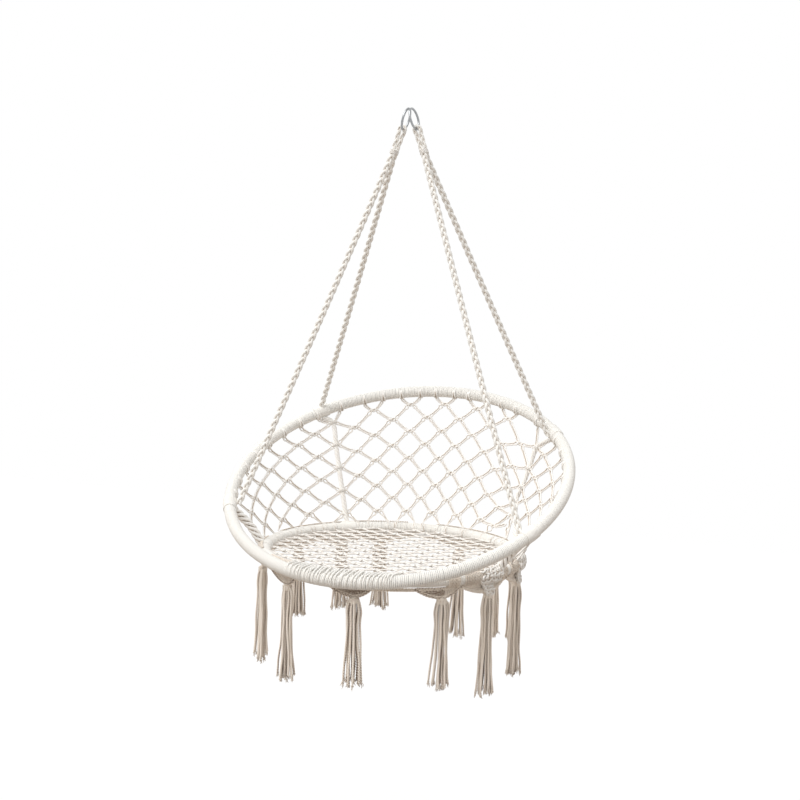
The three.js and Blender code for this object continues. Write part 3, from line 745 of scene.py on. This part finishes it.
def rope_path(side):
    """The line of one rope from the front of the large hoop through the ring to the back."""
    tie = centre_of(f"{side}_eye_tie")
    wire = ring_middle[side] + (tie - ring_middle[side]).normalized() * ring_radius
    hang = (wire - tie).normalized()
    wide = (sideways - hang * hang.x).normalized()

    def foot(sign):
        return tie - hang * tie_depth + Vector((0, sign * rope_gap, 0))

    def eye(sign):
        """One half of the eye, from the tie up."""
        half = [tie + hang * up * mm + wide * sign * aside * mm for up, aside in eye_shape]
        half[0].y += sign * eye_gap
        return half

    angles = [math.pi * i / eye_steps for i in range(eye_steps + 1)]
    over = [wire + hang * loop_half * math.sin(a) - wide * loop_half * math.cos(a)
            for a in angles]
    return (bow(rope_ends[f"front_{side}"], foot(-1), rope_steps, front_sag) + eye(-1) + over
            + eye(1)[::-1] + bow(foot(1), rope_ends[f"back_{side}"], rope_steps, back_sag))


for side in ("left", "right"):
    path = rope_path(side)
    slim = [slim_eye if rope_steps < i < len(path) - rope_steps - 1 else 1.0
            for i in range(len(path))]
    guides = Guides()
    guides.lay(path, Vector((1.0, 0.35, 0.1)), thick=slim, open=slim)
    lay_cord(f"{side}_rope_braid", guides, wrap_cotton, f"front_{side}_rope",
             f"back_{side}_rope", f"{side}_rope_eye", **braid, pitch=57 * mm, across=4.0 * mm,
             through=2.3 * mm, ply_radius=3.1 * mm, sides=10, step=2.6 * mm, seed=5)

# %% [markdown]
# ## Bindings and ties
#
# Where a rope or a leg meets a hoop, its cord ends are wound round the hoop in a tight
# band, and the eyes are closed the same way. Each band is a helix: short, steep and
# wound so closely that the turns touch.

# %% Helix bands
band_steps = 14                 # points in one turn of a band
band_wobble = 0.02              # the share by which a turn is wider or narrower
binding_turns, binding_cord, binding_off = 13, 3.0 * mm, 0.3 * mm
hoop_binding, seat_binding = 40 * mm, 38 * mm
tie_radius, tie_length, tie_turns, tie_oval = 8.2 * mm, 10 * mm, 4, 1.35
corner_turns = {
    "front_right": (0.18, 0.2), "back_right": (0.353, 0.336),
    "back_left": (-0.3642, -0.3835), "front_left": (-0.18, -0.2),
}


def band(middle, axis, reference, radius, length, turns, oval=1.0):
    """A helix round an axis, which may be wider across its second direction."""
    axis = axis.normalized()
    first = (reference - axis * reference.dot(axis)).normalized()
    second = axis.cross(first)
    points = []
    for i in range(turns * band_steps + 1):
        angle = full_turn * i / band_steps
        along = length * (i / (turns * band_steps) - 0.5)
        wide = radius * (1 + band_wobble * math.sin(3.1 * i))
        points.append(middle + axis * along
                      + (first * math.cos(angle) + second * math.sin(angle) * oval) * wide)
    return points


for corner, turns in corner_turns.items():
    for hoop, turn, part, wide in ((large, turns[0], "hoop", hoop_binding),
                                   (seat, turns[1], "seat", seat_binding)):
        middle, across = hoop.at(turn), hoop.along(turn)
        inward = (hoop.centre - middle).normalized()
        path = band(middle, across, upright, wrap_radius + binding_off, wide - binding_cord,
                    binding_turns)
        guides = Guides()
        guides.lay([p + inward * ((p - middle).dot(across) ** 2 / (2 * hoop.radius))
                    for p in path], across)
        lay_cord(f"{corner}_{part}_binding_cord", guides, wrap_cotton,
                 f"{corner}_{part}_binding", plies=1, ply_radius=1.6 * mm, sides=7,
                 step=2.6 * mm, seed=9)

for side in ("left", "right"):
    node = f"{side}_eye_tie"
    tie = centre_of(node)
    axis = tie - ring_middle[side]
    guides = Guides()
    guides.lay(band(tie, axis, sideways, tie_radius, tie_length, tie_turns, tie_oval),
               axis.normalized())
    lay_cord(node + "_cord", guides, cotton, node, plies=2, pitch=12 * mm, swing=0.7 * mm,
             ply_radius=1.1 * mm, sides=7, step=2 * mm, seed=11)

# %% [markdown]
# ## Stitches on the hoops
#
# Where a pair of net cords reaches a hoop it is sewn to the wrap: it comes out of the
# wrap, crosses the side of the tube that faces the net in two short turns, and dives
# back under. Between the turns the needle left a hole that lies in shade, so a thin cord
# with strong painted shade is laid there. The path is written once, in the hoop's own directions.

# %% Stitch path
net_cord = 3.8 * mm
stitch_middle, stitch_reach, stitch_sunk = 30, 72, 1.4 * mm    # degrees, degrees, depth
seat_stitch = 0.6               # the size of a stitch on the seat hoop
hole_thick, hole_painted_shade = 0.62, 1.6


def stitch(loops, hoop, turn, towards, size=1.0):
    """Lays two short turns of cord over the side of a hoop that faces its net."""
    middle, along = hoop.at(turn), hoop.along(turn)
    towards = (towards - along * towards.dot(along)).normalized()
    side = along.cross(towards)
    inside = hoop.centre - middle + Vector((0, 0, 0.2 * hoop.radius))
    if side.dot(inside) < 0:
        side = -side
    for offset, thick in ((-1, 1.0), (1, 1.0), (0, hole_thick)):
        points = []
        for step in range(-8, 9, 2):
            tip = math.radians(stitch_middle + step / 8 * stitch_reach)
            bare = 1 - abs(step) / 8
            wide = wrap_radius - stitch_sunk + net_cord * size * 0.8 * thick * bare ** 0.35
            points.append(middle + along * offset * size * (1.2 + 2.6 * bare) * mm
                          + (towards * math.cos(tip) + side * math.sin(tip)) * wide)
        # The middle, thinner cord gets strong painted shade, standing for the shade in the hole.
        loops.lay(points, along, thick=thick * size, shade=0.0 if offset else hole_painted_shade)


def sew_foot(loops, foot):
    """Sews the end of a net cord to the seat hoop."""
    turn = seat.turn_of(foot)
    stitch(loops, seat, turn, foot - seat.at(turn), seat_stitch)


print("stitches reach", stitch_reach, "degrees each way")

# %% [markdown]
# ## The back net
#
# The back is a net of doubled cords, knotted wherever two pairs cross. Between the back
# legs it is a plain diamond net hung on the large hoop, and neighbouring rows are half a
# mesh apart. Beyond the legs one family of cords runs beside the hoop, so the meshes
# lean. Every knot lies on a line from the large hoop to the seat hoop, like the packed
# net, and a column and a row give its place.

# %% Net layout
half_columns = 36
large_start, seat_start = 0.1848, 0.2048
net_off = wrap_radius + 1.4 * mm
net_centre = 18.1
leg_column, last_column, last_row = 6, 14, 10
row_step, side_row_step = 34.0, 28.7        # millimetres, in the middle and at the sides


def net_line(c):
    """Top, direction and length of the net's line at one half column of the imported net."""
    share = c / half_columns
    top = large.at(large_start + (1 - 2 * large_start) * share)
    foot = seat.at(seat_start + (1 - 2 * seat_start) * share)
    way = (foot - top).normalized()
    return top + way * net_off, way, (foot - top).length - 2 * net_off


def knot_place(m, row):
    """The half column of a knot and how far it is below the hoop, m columns from the middle.

    Knots were read off the photograph and carried through the fitted camera onto
    the net. These numbers are a simple rule that follows them.
    """
    across = abs(m)
    beyond = across - leg_column
    if beyond <= 0:
        edge = (across / leg_column) ** 2
        reach = 1.04 * across + 0.0037 * across ** 3
        depth = 16 + 6.5 * edge + (row_step - 5.3 * edge) * row
        if m < 0:
            pulled = max(0.0, 1 + beyond / 2)
            reach += 0.4 * pulled
            depth += (19.5 - 0.9 * row ** 2) * pulled
    elif m > 0:
        reach = 7.05 + (1.31 + 0.05 * row) * beyond
        depth = 27 + 4.8 * beyond + (side_row_step - 0.6 * min(beyond, 2)) * row
    else:
        reach = 7.05 + 1.31 * beyond
        depth = 36 + 6.4 * beyond + side_row_step * row
    return net_centre + math.copysign(reach, m), depth * mm


def net_point(c, depth):
    top, way, _ = net_line(c)
    return top + way * depth


def net_across(c, depth):
    """The way along the net's rows at a spot, not brought to length one."""
    return net_point(c + 0.01, depth) - net_point(c - 0.01, depth)


def net_facing(c, depth):
    """The way the net faces at a spot, towards the person who sits in it."""
    c = min(max(c, 1), half_columns - 1)
    return net_across(c, depth).cross(net_line(c)[1]).normalized()


print("net line lengths", [round(net_line(c)[2] * 1000) for c in (0, 9, 18)])

# %% [markdown]
# ## Legs
#
# Four bundles of cord run on from the ropes, down from the large hoop to the seat hoop.
# They are twisted, not braided, so the plied tree is used with the round swing. Behind,
# the net pulls on them, so they pass through its knots and bend inwards, and a few turns
# of thin cord tie the net to each. In front they are wider and straight.

# %% Legs
leg_inwards = 6 * mm
leg_tie_radius, leg_tie_length, leg_tie_turns = 6.8 * mm, 5 * mm, 2
leg_marks = {"back_right": -leg_column, "back_left": leg_column}
back_leg = dict(across=3.5 * mm, ply_radius=2.6 * mm, pitch=44 * mm)
front_leg = dict(across=7.0 * mm, ply_radius=3.6 * mm, pitch=60 * mm)
leg_ties = Guides()


def leg_line(corner, turns):
    """The way of a leg and the knots that pull on it."""
    top, foot = large.at(turns[0]), seat.at(turns[1])
    way = (foot - top).normalized() * wrap_radius
    if corner not in leg_marks:
        inwards = (net_line(18)[0] - top).normalized() * leg_inwards
        return [top + way, (top + foot) / 2 + inwards, foot - way], []
    pulls = [net_point(*knot_place(leg_marks[corner], row)) for row in range(0, 8, 2)]
    c = half_columns * (turns[0] % 1 - large_start) / (1 - 2 * large_start)
    return [net_point(c, 0.0), *pulls, foot - way], pulls


for corner, turns in corner_turns.items():
    line, pulls = leg_line(corner, turns)
    guides = Guides()
    # Painted shade in the creases of the legs, deeper on the back legs.
    guides.lay(line, Vector((0.9, 0.4, 0.1)), loose=[0.0] + [0.8] * (len(line) - 2) + [0.0],
               shade=0.25 if pulls else 0.05)
    lay_cord(f"{corner}_leg_cords", guides, cotton, f"{corner}_leg", plies=4,
             through=3.3 * mm, sides=8, step=2.6 * mm, wander=4 * mm, seed=13,
             **(back_leg if pulls else front_leg))
    for i, pull in enumerate(pulls):
        way = line[i + 2] - line[i]
        tie = band(pull, way, sideways, leg_tie_radius, leg_tie_length, leg_tie_turns)
        # Painted shade on the ties.
        leg_ties.lay(tie, way, shade=0.3)
lay_cord("leg_ties_cord", leg_ties, cotton, plies=2, pitch=9 * mm, swing=0.6 * mm,
         ply_radius=0.95 * mm, sides=6, step=2 * mm, seed=14)

# %% [markdown]
# ## Net cords
#
# Beside every knot the two cords of a pair stand a little apart and leave a small slit,
# then lie close together halfway to the next knot. In the plied tree that is two plies
# and half a turn from knot to knot, with a width that changes along the way.

# %% Net edges
knots = []           # point, facing, way along the net
cords, loops = Guides(), Guides()
net_half, knot_half, net_dip = 2.2 * mm, 4.6 * mm, 1.6 * mm
sewn_depth = -0.5 * mm
edge_steps = 12
sewn_reach, leg_reach, side_reach = 0.58, 0.95, 0.9         # half columns from a knot
slit_place, slit_width = 0.15, 0.07
wide_gap, narrow_gap, sewn_gap, side_gap, edge_gap = 1.0, 0.55, 0.3, 0.9, 0.4


def slit(share, gap):
    """How far open a pair is, so that it is widest just beside its knots."""
    beside = sum(math.exp(-((share - spot) / slit_width) ** 2)
                 for spot in (slit_place, 1 - slit_place))
    swing = max(0.2, math.sin(math.pi * share))
    return min(0.82 + 0.2 * swing + gap * beside, 1.0 + gap) / swing * min(1.0, 12 * swing ** 2)


def net_edge(start, end, gap, from_knot=True):
    """One pair of cords between two spots (c, depth), cut off where it meets the seat hoop."""
    line, opens = [], []
    towards = math.copysign(knot_half, end[0] - start[0])
    for i in range(edge_steps + 1):
        share = i / edge_steps
        c = start[0] + (end[0] - start[0]) * share
        depth = start[1] + (end[1] - start[1]) * share
        if 0 <= c <= half_columns and depth <= net_line(c)[2]:
            aside = net_across(c, depth).normalized()
            pull = -share if not from_knot else 1 - 2 * share
            dip = upright * net_dip * math.sin(math.pi * share)
            line.append(net_point(c, depth) + aside * towards * pull - dip)
            opens.append(slit(share, gap))
    if len(line) > 2:
        facing = net_facing((start[0] + end[0]) / 2, start[1])
        cords.lay(line, facing.cross(line[-1] - line[0]), open=opens, loose=0.5)
    return line if 2 < len(line) <= edge_steps else []


def sewn(c):
    """Sews a pair to the large hoop at a half column and gives the spot where it starts."""
    c = min(max(c, 0.0), float(half_columns))
    turn = large_start + (1 - 2 * large_start) * c / half_columns
    stitch(loops, large, turn, net_line(c)[1])
    return c, sewn_depth


print("a net edge has", edge_steps, "steps, and its knots are", 2 * knot_half, "wide")

# %% Net cords and knots
feet = []
for m in range(-last_column, last_column + 1):
    outwards = 1 if m > 0 else -1
    middle_part = abs(m) <= leg_column
    for row in range(last_row):
        if (row + m) % 2 if middle_part else row % 2:
            continue
        here = c, depth = knot_place(m, row)
        room = net_line(c)[2] - depth
        if not 0.3 < c < half_columns - 0.3 or room < -30 * mm:
            continue
        if room > 3 * mm:
            knots.append((net_point(c, depth), net_facing(c, depth), net_line(c)[1]))
        if middle_part:
            nexts = [(m + step, row + 1) for step in (-1, 1) if abs(m + step) <= leg_column]
        else:
            nexts = [(m - outwards, row + 2), (m - outwards, row)]
        for n, (far, far_row) in enumerate(nexts):
            stands_open = (far > m) != (not middle_part and n == 0 and m > 0)
            line = net_edge(here, knot_place(far, far_row),
                            wide_gap if stands_open else narrow_gap)
            if line:
                feet.append(min(line, key=lambda p: (p - seat.centre).length))
        if row == 0 and middle_part:
            reach = leg_reach if abs(m) == leg_column else sewn_reach
            for aside in (reach, -sewn_reach):
                net_edge(sewn(c + outwards * aside), here, sewn_gap, from_knot=False)
        elif row == 0:
            net_edge(sewn(c + outwards * side_reach), here, side_gap, from_knot=False)
        if abs(m) == last_column:
            net_edge(here, (c + 1.2 * outwards, depth + 5 * mm), edge_gap)
for foot in feet:
    sew_foot(loops, foot)
print(len(knots), "knots", len(feet), "feet on the seat hoop")

net_nodes = [f"net_{panel}" for panel in
             ("right_front", "right_side", "right_back", "left_back", "left_side", "left_front")]
lay_cord("back_net_cords", cords, cotton, *net_nodes, **pair, across=net_half,
         ply_radius=1.8 * mm, sides=7, step=2.4 * mm, wander=3.4 * mm, wander_scale=16.0, seed=17)
lay_cord("back_net_stitches", loops, cotton, plies=1, ply_radius=net_cord / 2, sides=7,
         step=2.0 * mm, seed=19)

# %% [markdown]
# ## Knots
#
# A knot repeats hundreds of times, so it stays light: one closed cord on a trefoil,
# about ninety faces. The tree makes it once, paints shade into its folds near the middle,
# puts a copy on every point of its guide, turned to the net's surface, and scales each one
# a little. A knot of two pairs is wider than high.

# %% Knot tree
knotted, given = new_tree("knots_on_points", {
    "Knot Size": 0.0034, "Cord Radius": 0.0018, "Points": 18, "Sides": 5, "Flatness": 0.8,
    "Height": 0.8, "Width": 1.45, "Seed": 1,
})
tree = knotted
circle = add(tree, "GeometryNodeCurvePrimitiveCircle", {"Resolution": given["Points"],
                                                        "Radius": 1.0})
angle = add(tree, "GeometryNodeInputIndex") / given["Points"] * full_turn
double, triple = angle * 2.0, angle * 3.0
reach = (triple.maths("COSINE") + 1.6) * given["Knot Size"]
spot = joined(tree, reach * double.maths("COSINE"), reach * double.maths("SINE"),
              triple.maths("SINE") * (given["Knot Size"] * given["Flatness"]))
trefoil = add(tree, "GeometryNodeSetPosition", {"Geometry": circle, "Position": spot})
knot = cord_skin(trefoil, given["Cord Radius"], given["Sides"], 1.0, given["Seed"])
# Painted shade: the folds near the middle of the knot get the dark crease colour.
reach = add(tree, "GeometryNodeInputPosition").arrow("LENGTH", output="Value")
depth = (reach / (given["Knot Size"] * 2.1)).maths("MULTIPLY_ADD", -1.0, 1.02)
knot = stored(knot, "cord_painted_shade", depth)
turned = add(tree, "FunctionNodeAxesToRotation", {
    "Primary Axis": named(tree, "facing", "FLOAT_VECTOR"),
    "Secondary Axis": named(tree, "way", "FLOAT_VECTOR"),
}, primary_axis="Z", secondary_axis="X")
shape = joined(tree, given["Height"], given["Width"], 1.0)
placed = add(tree, "GeometryNodeInstanceOnPoints", {
    "Points": given["Geometry"], "Instance": knot, "Rotation": turned,
    "Scale": shape.scaled(chance(given, 0.88, 1.14)),
})
close_tree(given, placed)


def knot_guide(name, spots):
    """Points with the way each knot faces and the way its net runs."""
    guide = bpy.data.meshes.new(name)
    guide.from_pydata([spot for spot, _, _ in spots], [], [])
    write_arrows(guide, "facing", [facing for _, facing, _ in spots])
    write_arrows(guide, "way", [way for _, _, way in spots])
    return guide


# %% Knots of the back net
grow("back_net_knots", knot_guide("back_knots", knots), knotted, cotton,
     knot_size=2.4 * mm, cord_radius=1.9 * mm, seed=23)

# %% [markdown]
# ## The seat net
#
# The seat is a flat net of the same doubled cords, closer than the back because it
# carries the weight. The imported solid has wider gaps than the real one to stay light.
# The drawing here is a plain lattice clipped by the seat hoop, and each cord that
# reaches the hoop is sewn to it.

# %% Seat net
seat_column, seat_row = 31 * mm, 20 * mm
seat_reach = seat.radius - net_off
seat_sag = 4.0 * mm
cords, loops, knots = Guides(), Guides(), []
columns, rows = math.ceil(seat_reach / seat_column), math.ceil(seat_reach / seat_row)


def seat_spot(x, y):
    """A point of the seat net, which hangs a few millimetres lower in its middle."""
    sag = seat_sag * max(0.0, 1 - (x * x + y * y) / seat_reach ** 2)
    return seat.centre + Vector((x, y, -sag))


for j in range(-rows, rows + 1):
    for i in range(-columns, columns + 1):
        if (i + j) % 2:
            continue
        x, y = i * seat_column, j * seat_row
        if math.hypot(x, y) < seat_reach - 5 * mm:
            knots.append((seat_spot(x, y), upright, sideways))
        for step in (-1, 1):
            spots = [(x + step * seat_column * k / edge_steps, y + seat_row * k / edge_steps)
                     for k in range(edge_steps + 1)]
            line = [seat_spot(*spot) for spot in spots if math.hypot(*spot) <= seat_reach]
            if len(line) < 3:
                continue
            cords.lay(line, upright.cross(line[-1] - line[0]), open=0.9 + 0.2 * (step > 0),
                      loose=0.4)
            if len(line) <= edge_steps:
                sew_foot(loops, max(line, key=lambda p: (p - seat.centre).length))
lay_cord("seat_net_cords", cords, cotton, "seat_net", **pair, across=1.7 * mm,
         ply_radius=1.5 * mm, sides=6, step=3.2 * mm, wander=5 * mm, wander_scale=14.0, seed=29)
lay_cord("seat_net_stitches", loops, cotton, plies=1, ply_radius=net_cord / 2, sides=6,
         step=2.6 * mm, seed=31)
grow("seat_net_knots", knot_guide("seat_knots", knots), knotted, cotton,
     knot_size=2.3 * mm, cord_radius=1.6 * mm, seed=37)
print(len(knots), "seat knots")

# %% [markdown]
# ## The front lashing
#
# At the front the two hoops lie side by side and are lashed together with one long
# cord. Its turns are uneven: some lean, some leave a gap. Each turn is a loop round two
# circles, two half circles joined by straight runs. It is pulled flat over the top,
# where it sinks into the wrap, and stands out below.

# %% Front lashing
random.seed(41)
lashing_half = 118 * mm
sunk = 4.0 * mm
bend_steps = 8
lashing_gaps = (6.4, 7.4, 8.6, 11.0)        # millimetres between two turns


def lashing_turn(x, lean, wide):
    """One loop round both hoops at a place across the front."""
    a, b = (hoop.at(math.asin(x / hoop.radius) / full_turn) for hoop in (large, seat))
    across = (b - a).normalized()
    rise = across.cross(sideways).normalized()
    points = []
    for middle, first, sign in ((a, 90, -1), (b, 270, 1)):
        for i in range(bend_steps + 1):
            share = i / bend_steps
            angle = math.radians(first + 180 * share)
            reach = wrap_radius + wide - sunk * (share if sign > 0 else 1 - share)
            points.append(middle + across * reach * math.cos(angle)
                          + rise * reach * math.sin(angle) + Vector((sign * lean * 0.5, 0, 0)))
    return points


lashing_thick = [0.25 + 0.85 * (i / bend_steps) ** 2 for i in range(bend_steps + 1)]
lashing_thick += lashing_thick[::-1]
guides = Guides()
x = -lashing_half
turns_laid = 0
while x < lashing_half:
    loop = lashing_turn(x, random.uniform(-4, 4) * mm, random.uniform(1.4, 2.8) * mm)
    guides.lay(loop, sideways, closed=True, phase=random.random(), thick=lashing_thick)
    x += random.choice(lashing_gaps) * mm
    turns_laid += 1
lay_cord("front_lashing_cord", guides, wrap_cotton, "front_lashing", plies=2,
         pitch=15 * mm, swing=0.85 * mm, ply_radius=1.45 * mm, sides=7, step=2.4 * mm, seed=43)
print(turns_laid, "turns of lashing")

# %% [markdown]
# ## The skirt
#
# Under the seat hoop hangs a skirt: a row of half hitches all round, and above every
# tassel a fan of cords that runs together into the tassel's knot, edged by two braids.
# Beside and behind, the fans also come over the outside of the hoop. In front the large
# hoop shades them, and there they get painted shadow. The cords of all fans are one piece
# here, which stands for the four skirt pieces of the imported chair. How the real ones are
# tied is a guess.

# %% Skirt layout
skirt_top = seat.centre.z - 16.8 * mm
skirt_depth = 19 * mm
wide_fan, narrow_fan = 62 * mm, 44 * mm
fan_foot, fan_half = 7.5 * mm, 15          # half its width at the tassel, cords on one side
fan_sag, braid_sag, braid_off = 2.5 * mm, 4.5 * mm, 1.5 * mm
hitch_spots, hitch_depth = 96, 2.2 * mm
covered = (0.122, 0.93)         # the shares of a turn between which the hoop is covered
# Fans and braids this near the front get painted shadow, for the large hoop's shadow.
painted_shadow_reach = 0.12             # so near the front a fan lies in the dark
tassel_turns = {f"tassel_{i + 1:02d}": turn for i, turn in enumerate((
    0.008, 0.111, 0.178, 0.258, 0.333, 0.394, 0.458, 0.569, 0.625, 0.694, 0.806, 0.908))}
tassel_moves = {                # millimetres along the hoop and outwards
    "tassel_01": (12, 0), "tassel_02": (9, 0), "tassel_03": (9, 0),
    "tassel_11": (17, -3), "tassel_12": (20, -2),
}
tip_out = skirt_depth * math.tan(math.radians(12))
fans, braids = Guides(), Guides()


def under_hoop(turn, depth, out):
    spot = seat.at(turn, out=out)
    return Vector((spot.x, spot.y, skirt_top - depth))


def over_hoop(turn):
    """The way of a cord from the top of the seat hoop round its outer side to the bottom."""
    wide = wrap_radius + 1.5 * mm
    tips = [math.radians(angle) for angle in (80, 50, 20, -10, -40, -70)]
    return [seat.at(turn, out=wide * math.cos(tip), up=wide * math.sin(tip)) for tip in tips]


def tassel_tip(name, turn):
    """Where a fan runs together: below the hoop, moved along it and outwards."""
    along, out = tassel_moves.get(name, (0, 0))
    return under_hoop(turn, skirt_depth, tip_out + out * mm) + seat.along(turn) * along * mm


print("skirt from", round(skirt_top, 4), "over", len(tassel_turns), "tassels")

# %% Skirt
random.seed(47)
for name, turn in tassel_turns.items():
    way, outward, tip = seat.along(turn), seat.outward(turn), tassel_tip(name, turn)
    in_painted_shadow = min(turn, 1 - turn) < painted_shadow_reach
    half = wide_fan if covered[0] < turn < 0.85 else narrow_fan
    for k in range(-fan_half, fan_half + 1):
        share = k / fan_half
        reach = turn + seat.share(share * half)
        start = under_hoop(reach, -1.5 * mm, random.uniform(-0.8, 0.8) * mm)
        end = tip + way * share * fan_foot + outward * random.uniform(-2.5, 2.5) * mm
        line = over_hoop(reach) if covered[0] < reach < covered[1] else []
        # Painted shadow near the front where no cord comes over the hoop; elsewhere a random share of
        # painted crease shade.
        tone = 0.75 if in_painted_shadow and not line else random.uniform(-0.1, 0.25)
        fans.lay(line + bow(start, end, 6, fan_sag), seat.along(reach),
                 phase=random.random(), shade=tone)
    for sign in (-1, 1):
        reach = turn + seat.share(sign * (half + 4 * mm))
        line = bow(under_hoop(reach, 0.5 * mm, braid_off), tip, 8, braid_sag)
        # Painted shadow on the braids near the front.
        braids.lay([p + outward * braid_off for p in line], upright, phase=0.3 * sign,
                   shade=0.5 if in_painted_shadow else 0.0)
braids.lay([under_hoop(i / hitch_spots, hitch_depth, 0) for i in range(hitch_spots)],
           upright, closed=True)
lay_cord("skirt_fans", fans, taupe, "skirt_front", "skirt_right", "skirt_back", "skirt_left",
         plies=2, pitch=13 * mm, swing=0.8 * mm, ply_radius=1.15 * mm, sides=5,
         step=2.9 * mm, seed=53)
lay_cord("skirt_braids", braids, taupe, **braid, pitch=20 * mm, across=2.3 * mm,
         through=1.3 * mm, ply_radius=1.8 * mm, sides=7, step=1.8 * mm, seed=59)

# %% [markdown]
# ## The collar of knots
#
# On the right the cords that come over the seat hoop are knotted together above each
# tassel, and the knots are as pale as the net. They are the net's knot at a bigger size,
# in staggered rows round the outer side of the hoop and down to the tassel.

# %% Collar of knots
random.seed(71)
collar_knots = []
collar_step = 0.0011            # of a turn, about two millimetres
collar_off = wrap_radius + 2.5 * mm
collar_gap, collar_lift = 4 * mm, 7 * mm    # the knots below the hoop, aside and outwards
for name, turn in list(tassel_turns.items())[2:5]:
    for column in (-1, 0, 1, 2):
        for row, angle in enumerate((60, 25, -10, -45)):
            reach = turn + (7 * column + 3.5 * (row % 2) + random.uniform(-2, 2)) * collar_step
            tip = math.radians(angle + random.uniform(-9, 9))
            middle, along = seat.at(reach), seat.along(reach)
            outward = seat.at(reach, out=math.cos(tip), up=math.sin(tip)) - middle
            way = outward.cross(along) + along * random.uniform(-0.6, 0.6)
            collar_knots.append((middle + outward * collar_off, outward, way))
    for depth in (3 * mm, 11 * mm, 18 * mm):
        below = tassel_tip(name, turn).lerp(under_hoop(turn, 0, 0), 1 - depth / skirt_depth)
        outward = seat.outward(turn)
        for aside in (-collar_gap, collar_gap):
            spot = below + outward * collar_lift + seat.along(turn) * aside
            collar_knots.append((spot, outward, Vector((random.uniform(-0.5, 0.5), 0, -1))))
grow("skirt_collar_knots", knot_guide("collar", collar_knots), knotted, cotton,
     knot_size=3.4 * mm, cord_radius=2.3 * mm, width=1.15, height=1.0, seed=73)
print(len(collar_knots), "knots in the collar")

# %% [markdown]
# ## The tassels
#
# A tassel is a bunch of cords, gathered by a few tight turns and cut to roughly one
# length. Each cord is two plies, so its twist is real shape here, and it opens at the
# cut end. The cords start on a small disc, spread on the way down and wander, so that
# no two lie alike. Every tassel is a mesh of its own, because it swings on its own.

# %% Tassels
strand_count, strand_steps, wisp_count = 14, 14, 3
golden_angle = 2.399963
tassel_wide, tassel_deep = 16 * mm, 12.5 * mm
knot_radius, wisp_length = 9 * mm, 4 * mm
neck_wide, neck_deep = 9.4 * mm, 7.6 * mm   # the turns that gather the cords
cap_wide, cap_high, cap_bend = 6 * mm, 6.5 * mm, 4.32 * mm
cut_start, cut_length = 0.93, 0.07          # shares of a strand: its frayed end
# This tassel gets less painted shade, as painted light.
painted_light_tassel = "tassel_11"                        # the palest one in the photograph
shares = [i / strand_steps for i in range(strand_steps + 1)]
frayed = [max(0.0, share - cut_start) / cut_length for share in shares]

for number, (name, turn) in enumerate(tassel_turns.items()):
    random.seed(100 + number)
    way, outward, knot = seat.along(turn), seat.outward(turn), tassel_tip(name, turn)
    knot.z = skirt_top - skirt_depth - knot_radius
    drop = knot.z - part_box(name)[0].z
    strands = Guides()

    def beside(along, out, rise):
        """A spot beside this tassel's knot."""
        return knot + way * along + outward * out + upright * rise

    for k in range(strand_count):
        angle = k * golden_angle
        ring = math.sqrt((k + 0.5) / strand_count)
        across, deep = ring * math.cos(angle), ring * math.sin(angle)
        length = drop * random.uniform(0.93, 1.01)
        points = []
        for share in shares:
            spread = 0.62 + 0.55 * share ** 0.7 + 0.25 * share ** 3
            spread *= 1 + 0.35 * math.exp(-((share - 0.12) / 0.1) ** 2)
            points.append(beside(across * tassel_wide * spread, deep * tassel_deep * spread,
                                 -share * length))
        # Painted shade on the inner strands and on the sides facing into the bunch, less on the
        # painted light tassel.
        strands.lay(points, way, loose=[share ** 0.8 for share in shares],
                    bunch=(way * across + outward * deep).normalized() * 0.9,
                    shade=(0.55 if ring < 0.55 else 0.12) - (0.22 if name == painted_light_tassel else 0.0),
                    open=[1.0 + 0.9 * fray for fray in frayed],
                    thick=[1.0 - 0.25 * fray for fray in frayed], phase=random.random())
        for _ in range(wisp_count):
            wisp = points[-1]
            lean = Vector((random.uniform(-1, 1), random.uniform(-1, 1), -1.2)) * wisp_length
            strands.lay([wisp + upright * 3 * mm, wisp + lean * 0.4, wisp + lean],
                        way, thick=[0.35, 0.28, 0.1], open=[0.6, 0.5, 0.3], loose=1.0,
                        phase=random.random())
    start = random.choice((-1, 1))
    reach = start * random.uniform(15, 19) * mm
    loop = [(start * 5 * mm, 0), (reach * 0.8, -2 * mm), (reach, -16 * mm),
            (reach * 0.95, -38 * mm), (reach * 0.75, -0.55 * drop), (reach * 0.6, -0.9 * drop)]
    strands.lay([beside(along, 0, rise) for along, rise in loop], outward, loose=0.2, phase=0.4)
    for height in (3.6, 0.4, -2.8):
        ring = [beside(neck_wide * math.cos(a), neck_deep * math.sin(a), height * mm)
                for a in (full_turn * i / band_steps for i in range(band_steps))]
        strands.lay(ring, upright, closed=True, thick=1.1)
    for aside, thick in ((0, 1.3), (3, 1.2), (-3, 1.2)):
        cap = [beside(s * cap_wide, aside * mm, cap_high - cap_bend * s * s)
               for s in (-1, -0.5, 0, 0.5, 1)]
        strands.lay(cap, outward, thick=thick)
    lay_cord(name + "_cords", strands, taupe, name, body=name, plies=2, pitch=11 * mm,
             swing=1.25 * mm, ply_radius=1.6 * mm, sides=6, step=2.8 * mm, wander=17 * mm,
             wander_scale=10.0, seed=60 + number)

# %% [markdown]
# ## The last update
#
# The dressed chair is meant to stay the size of the imported one. At the end the
# view layer is brought up to date once more.

# %% Last update
bpy.context.view_layer.update()
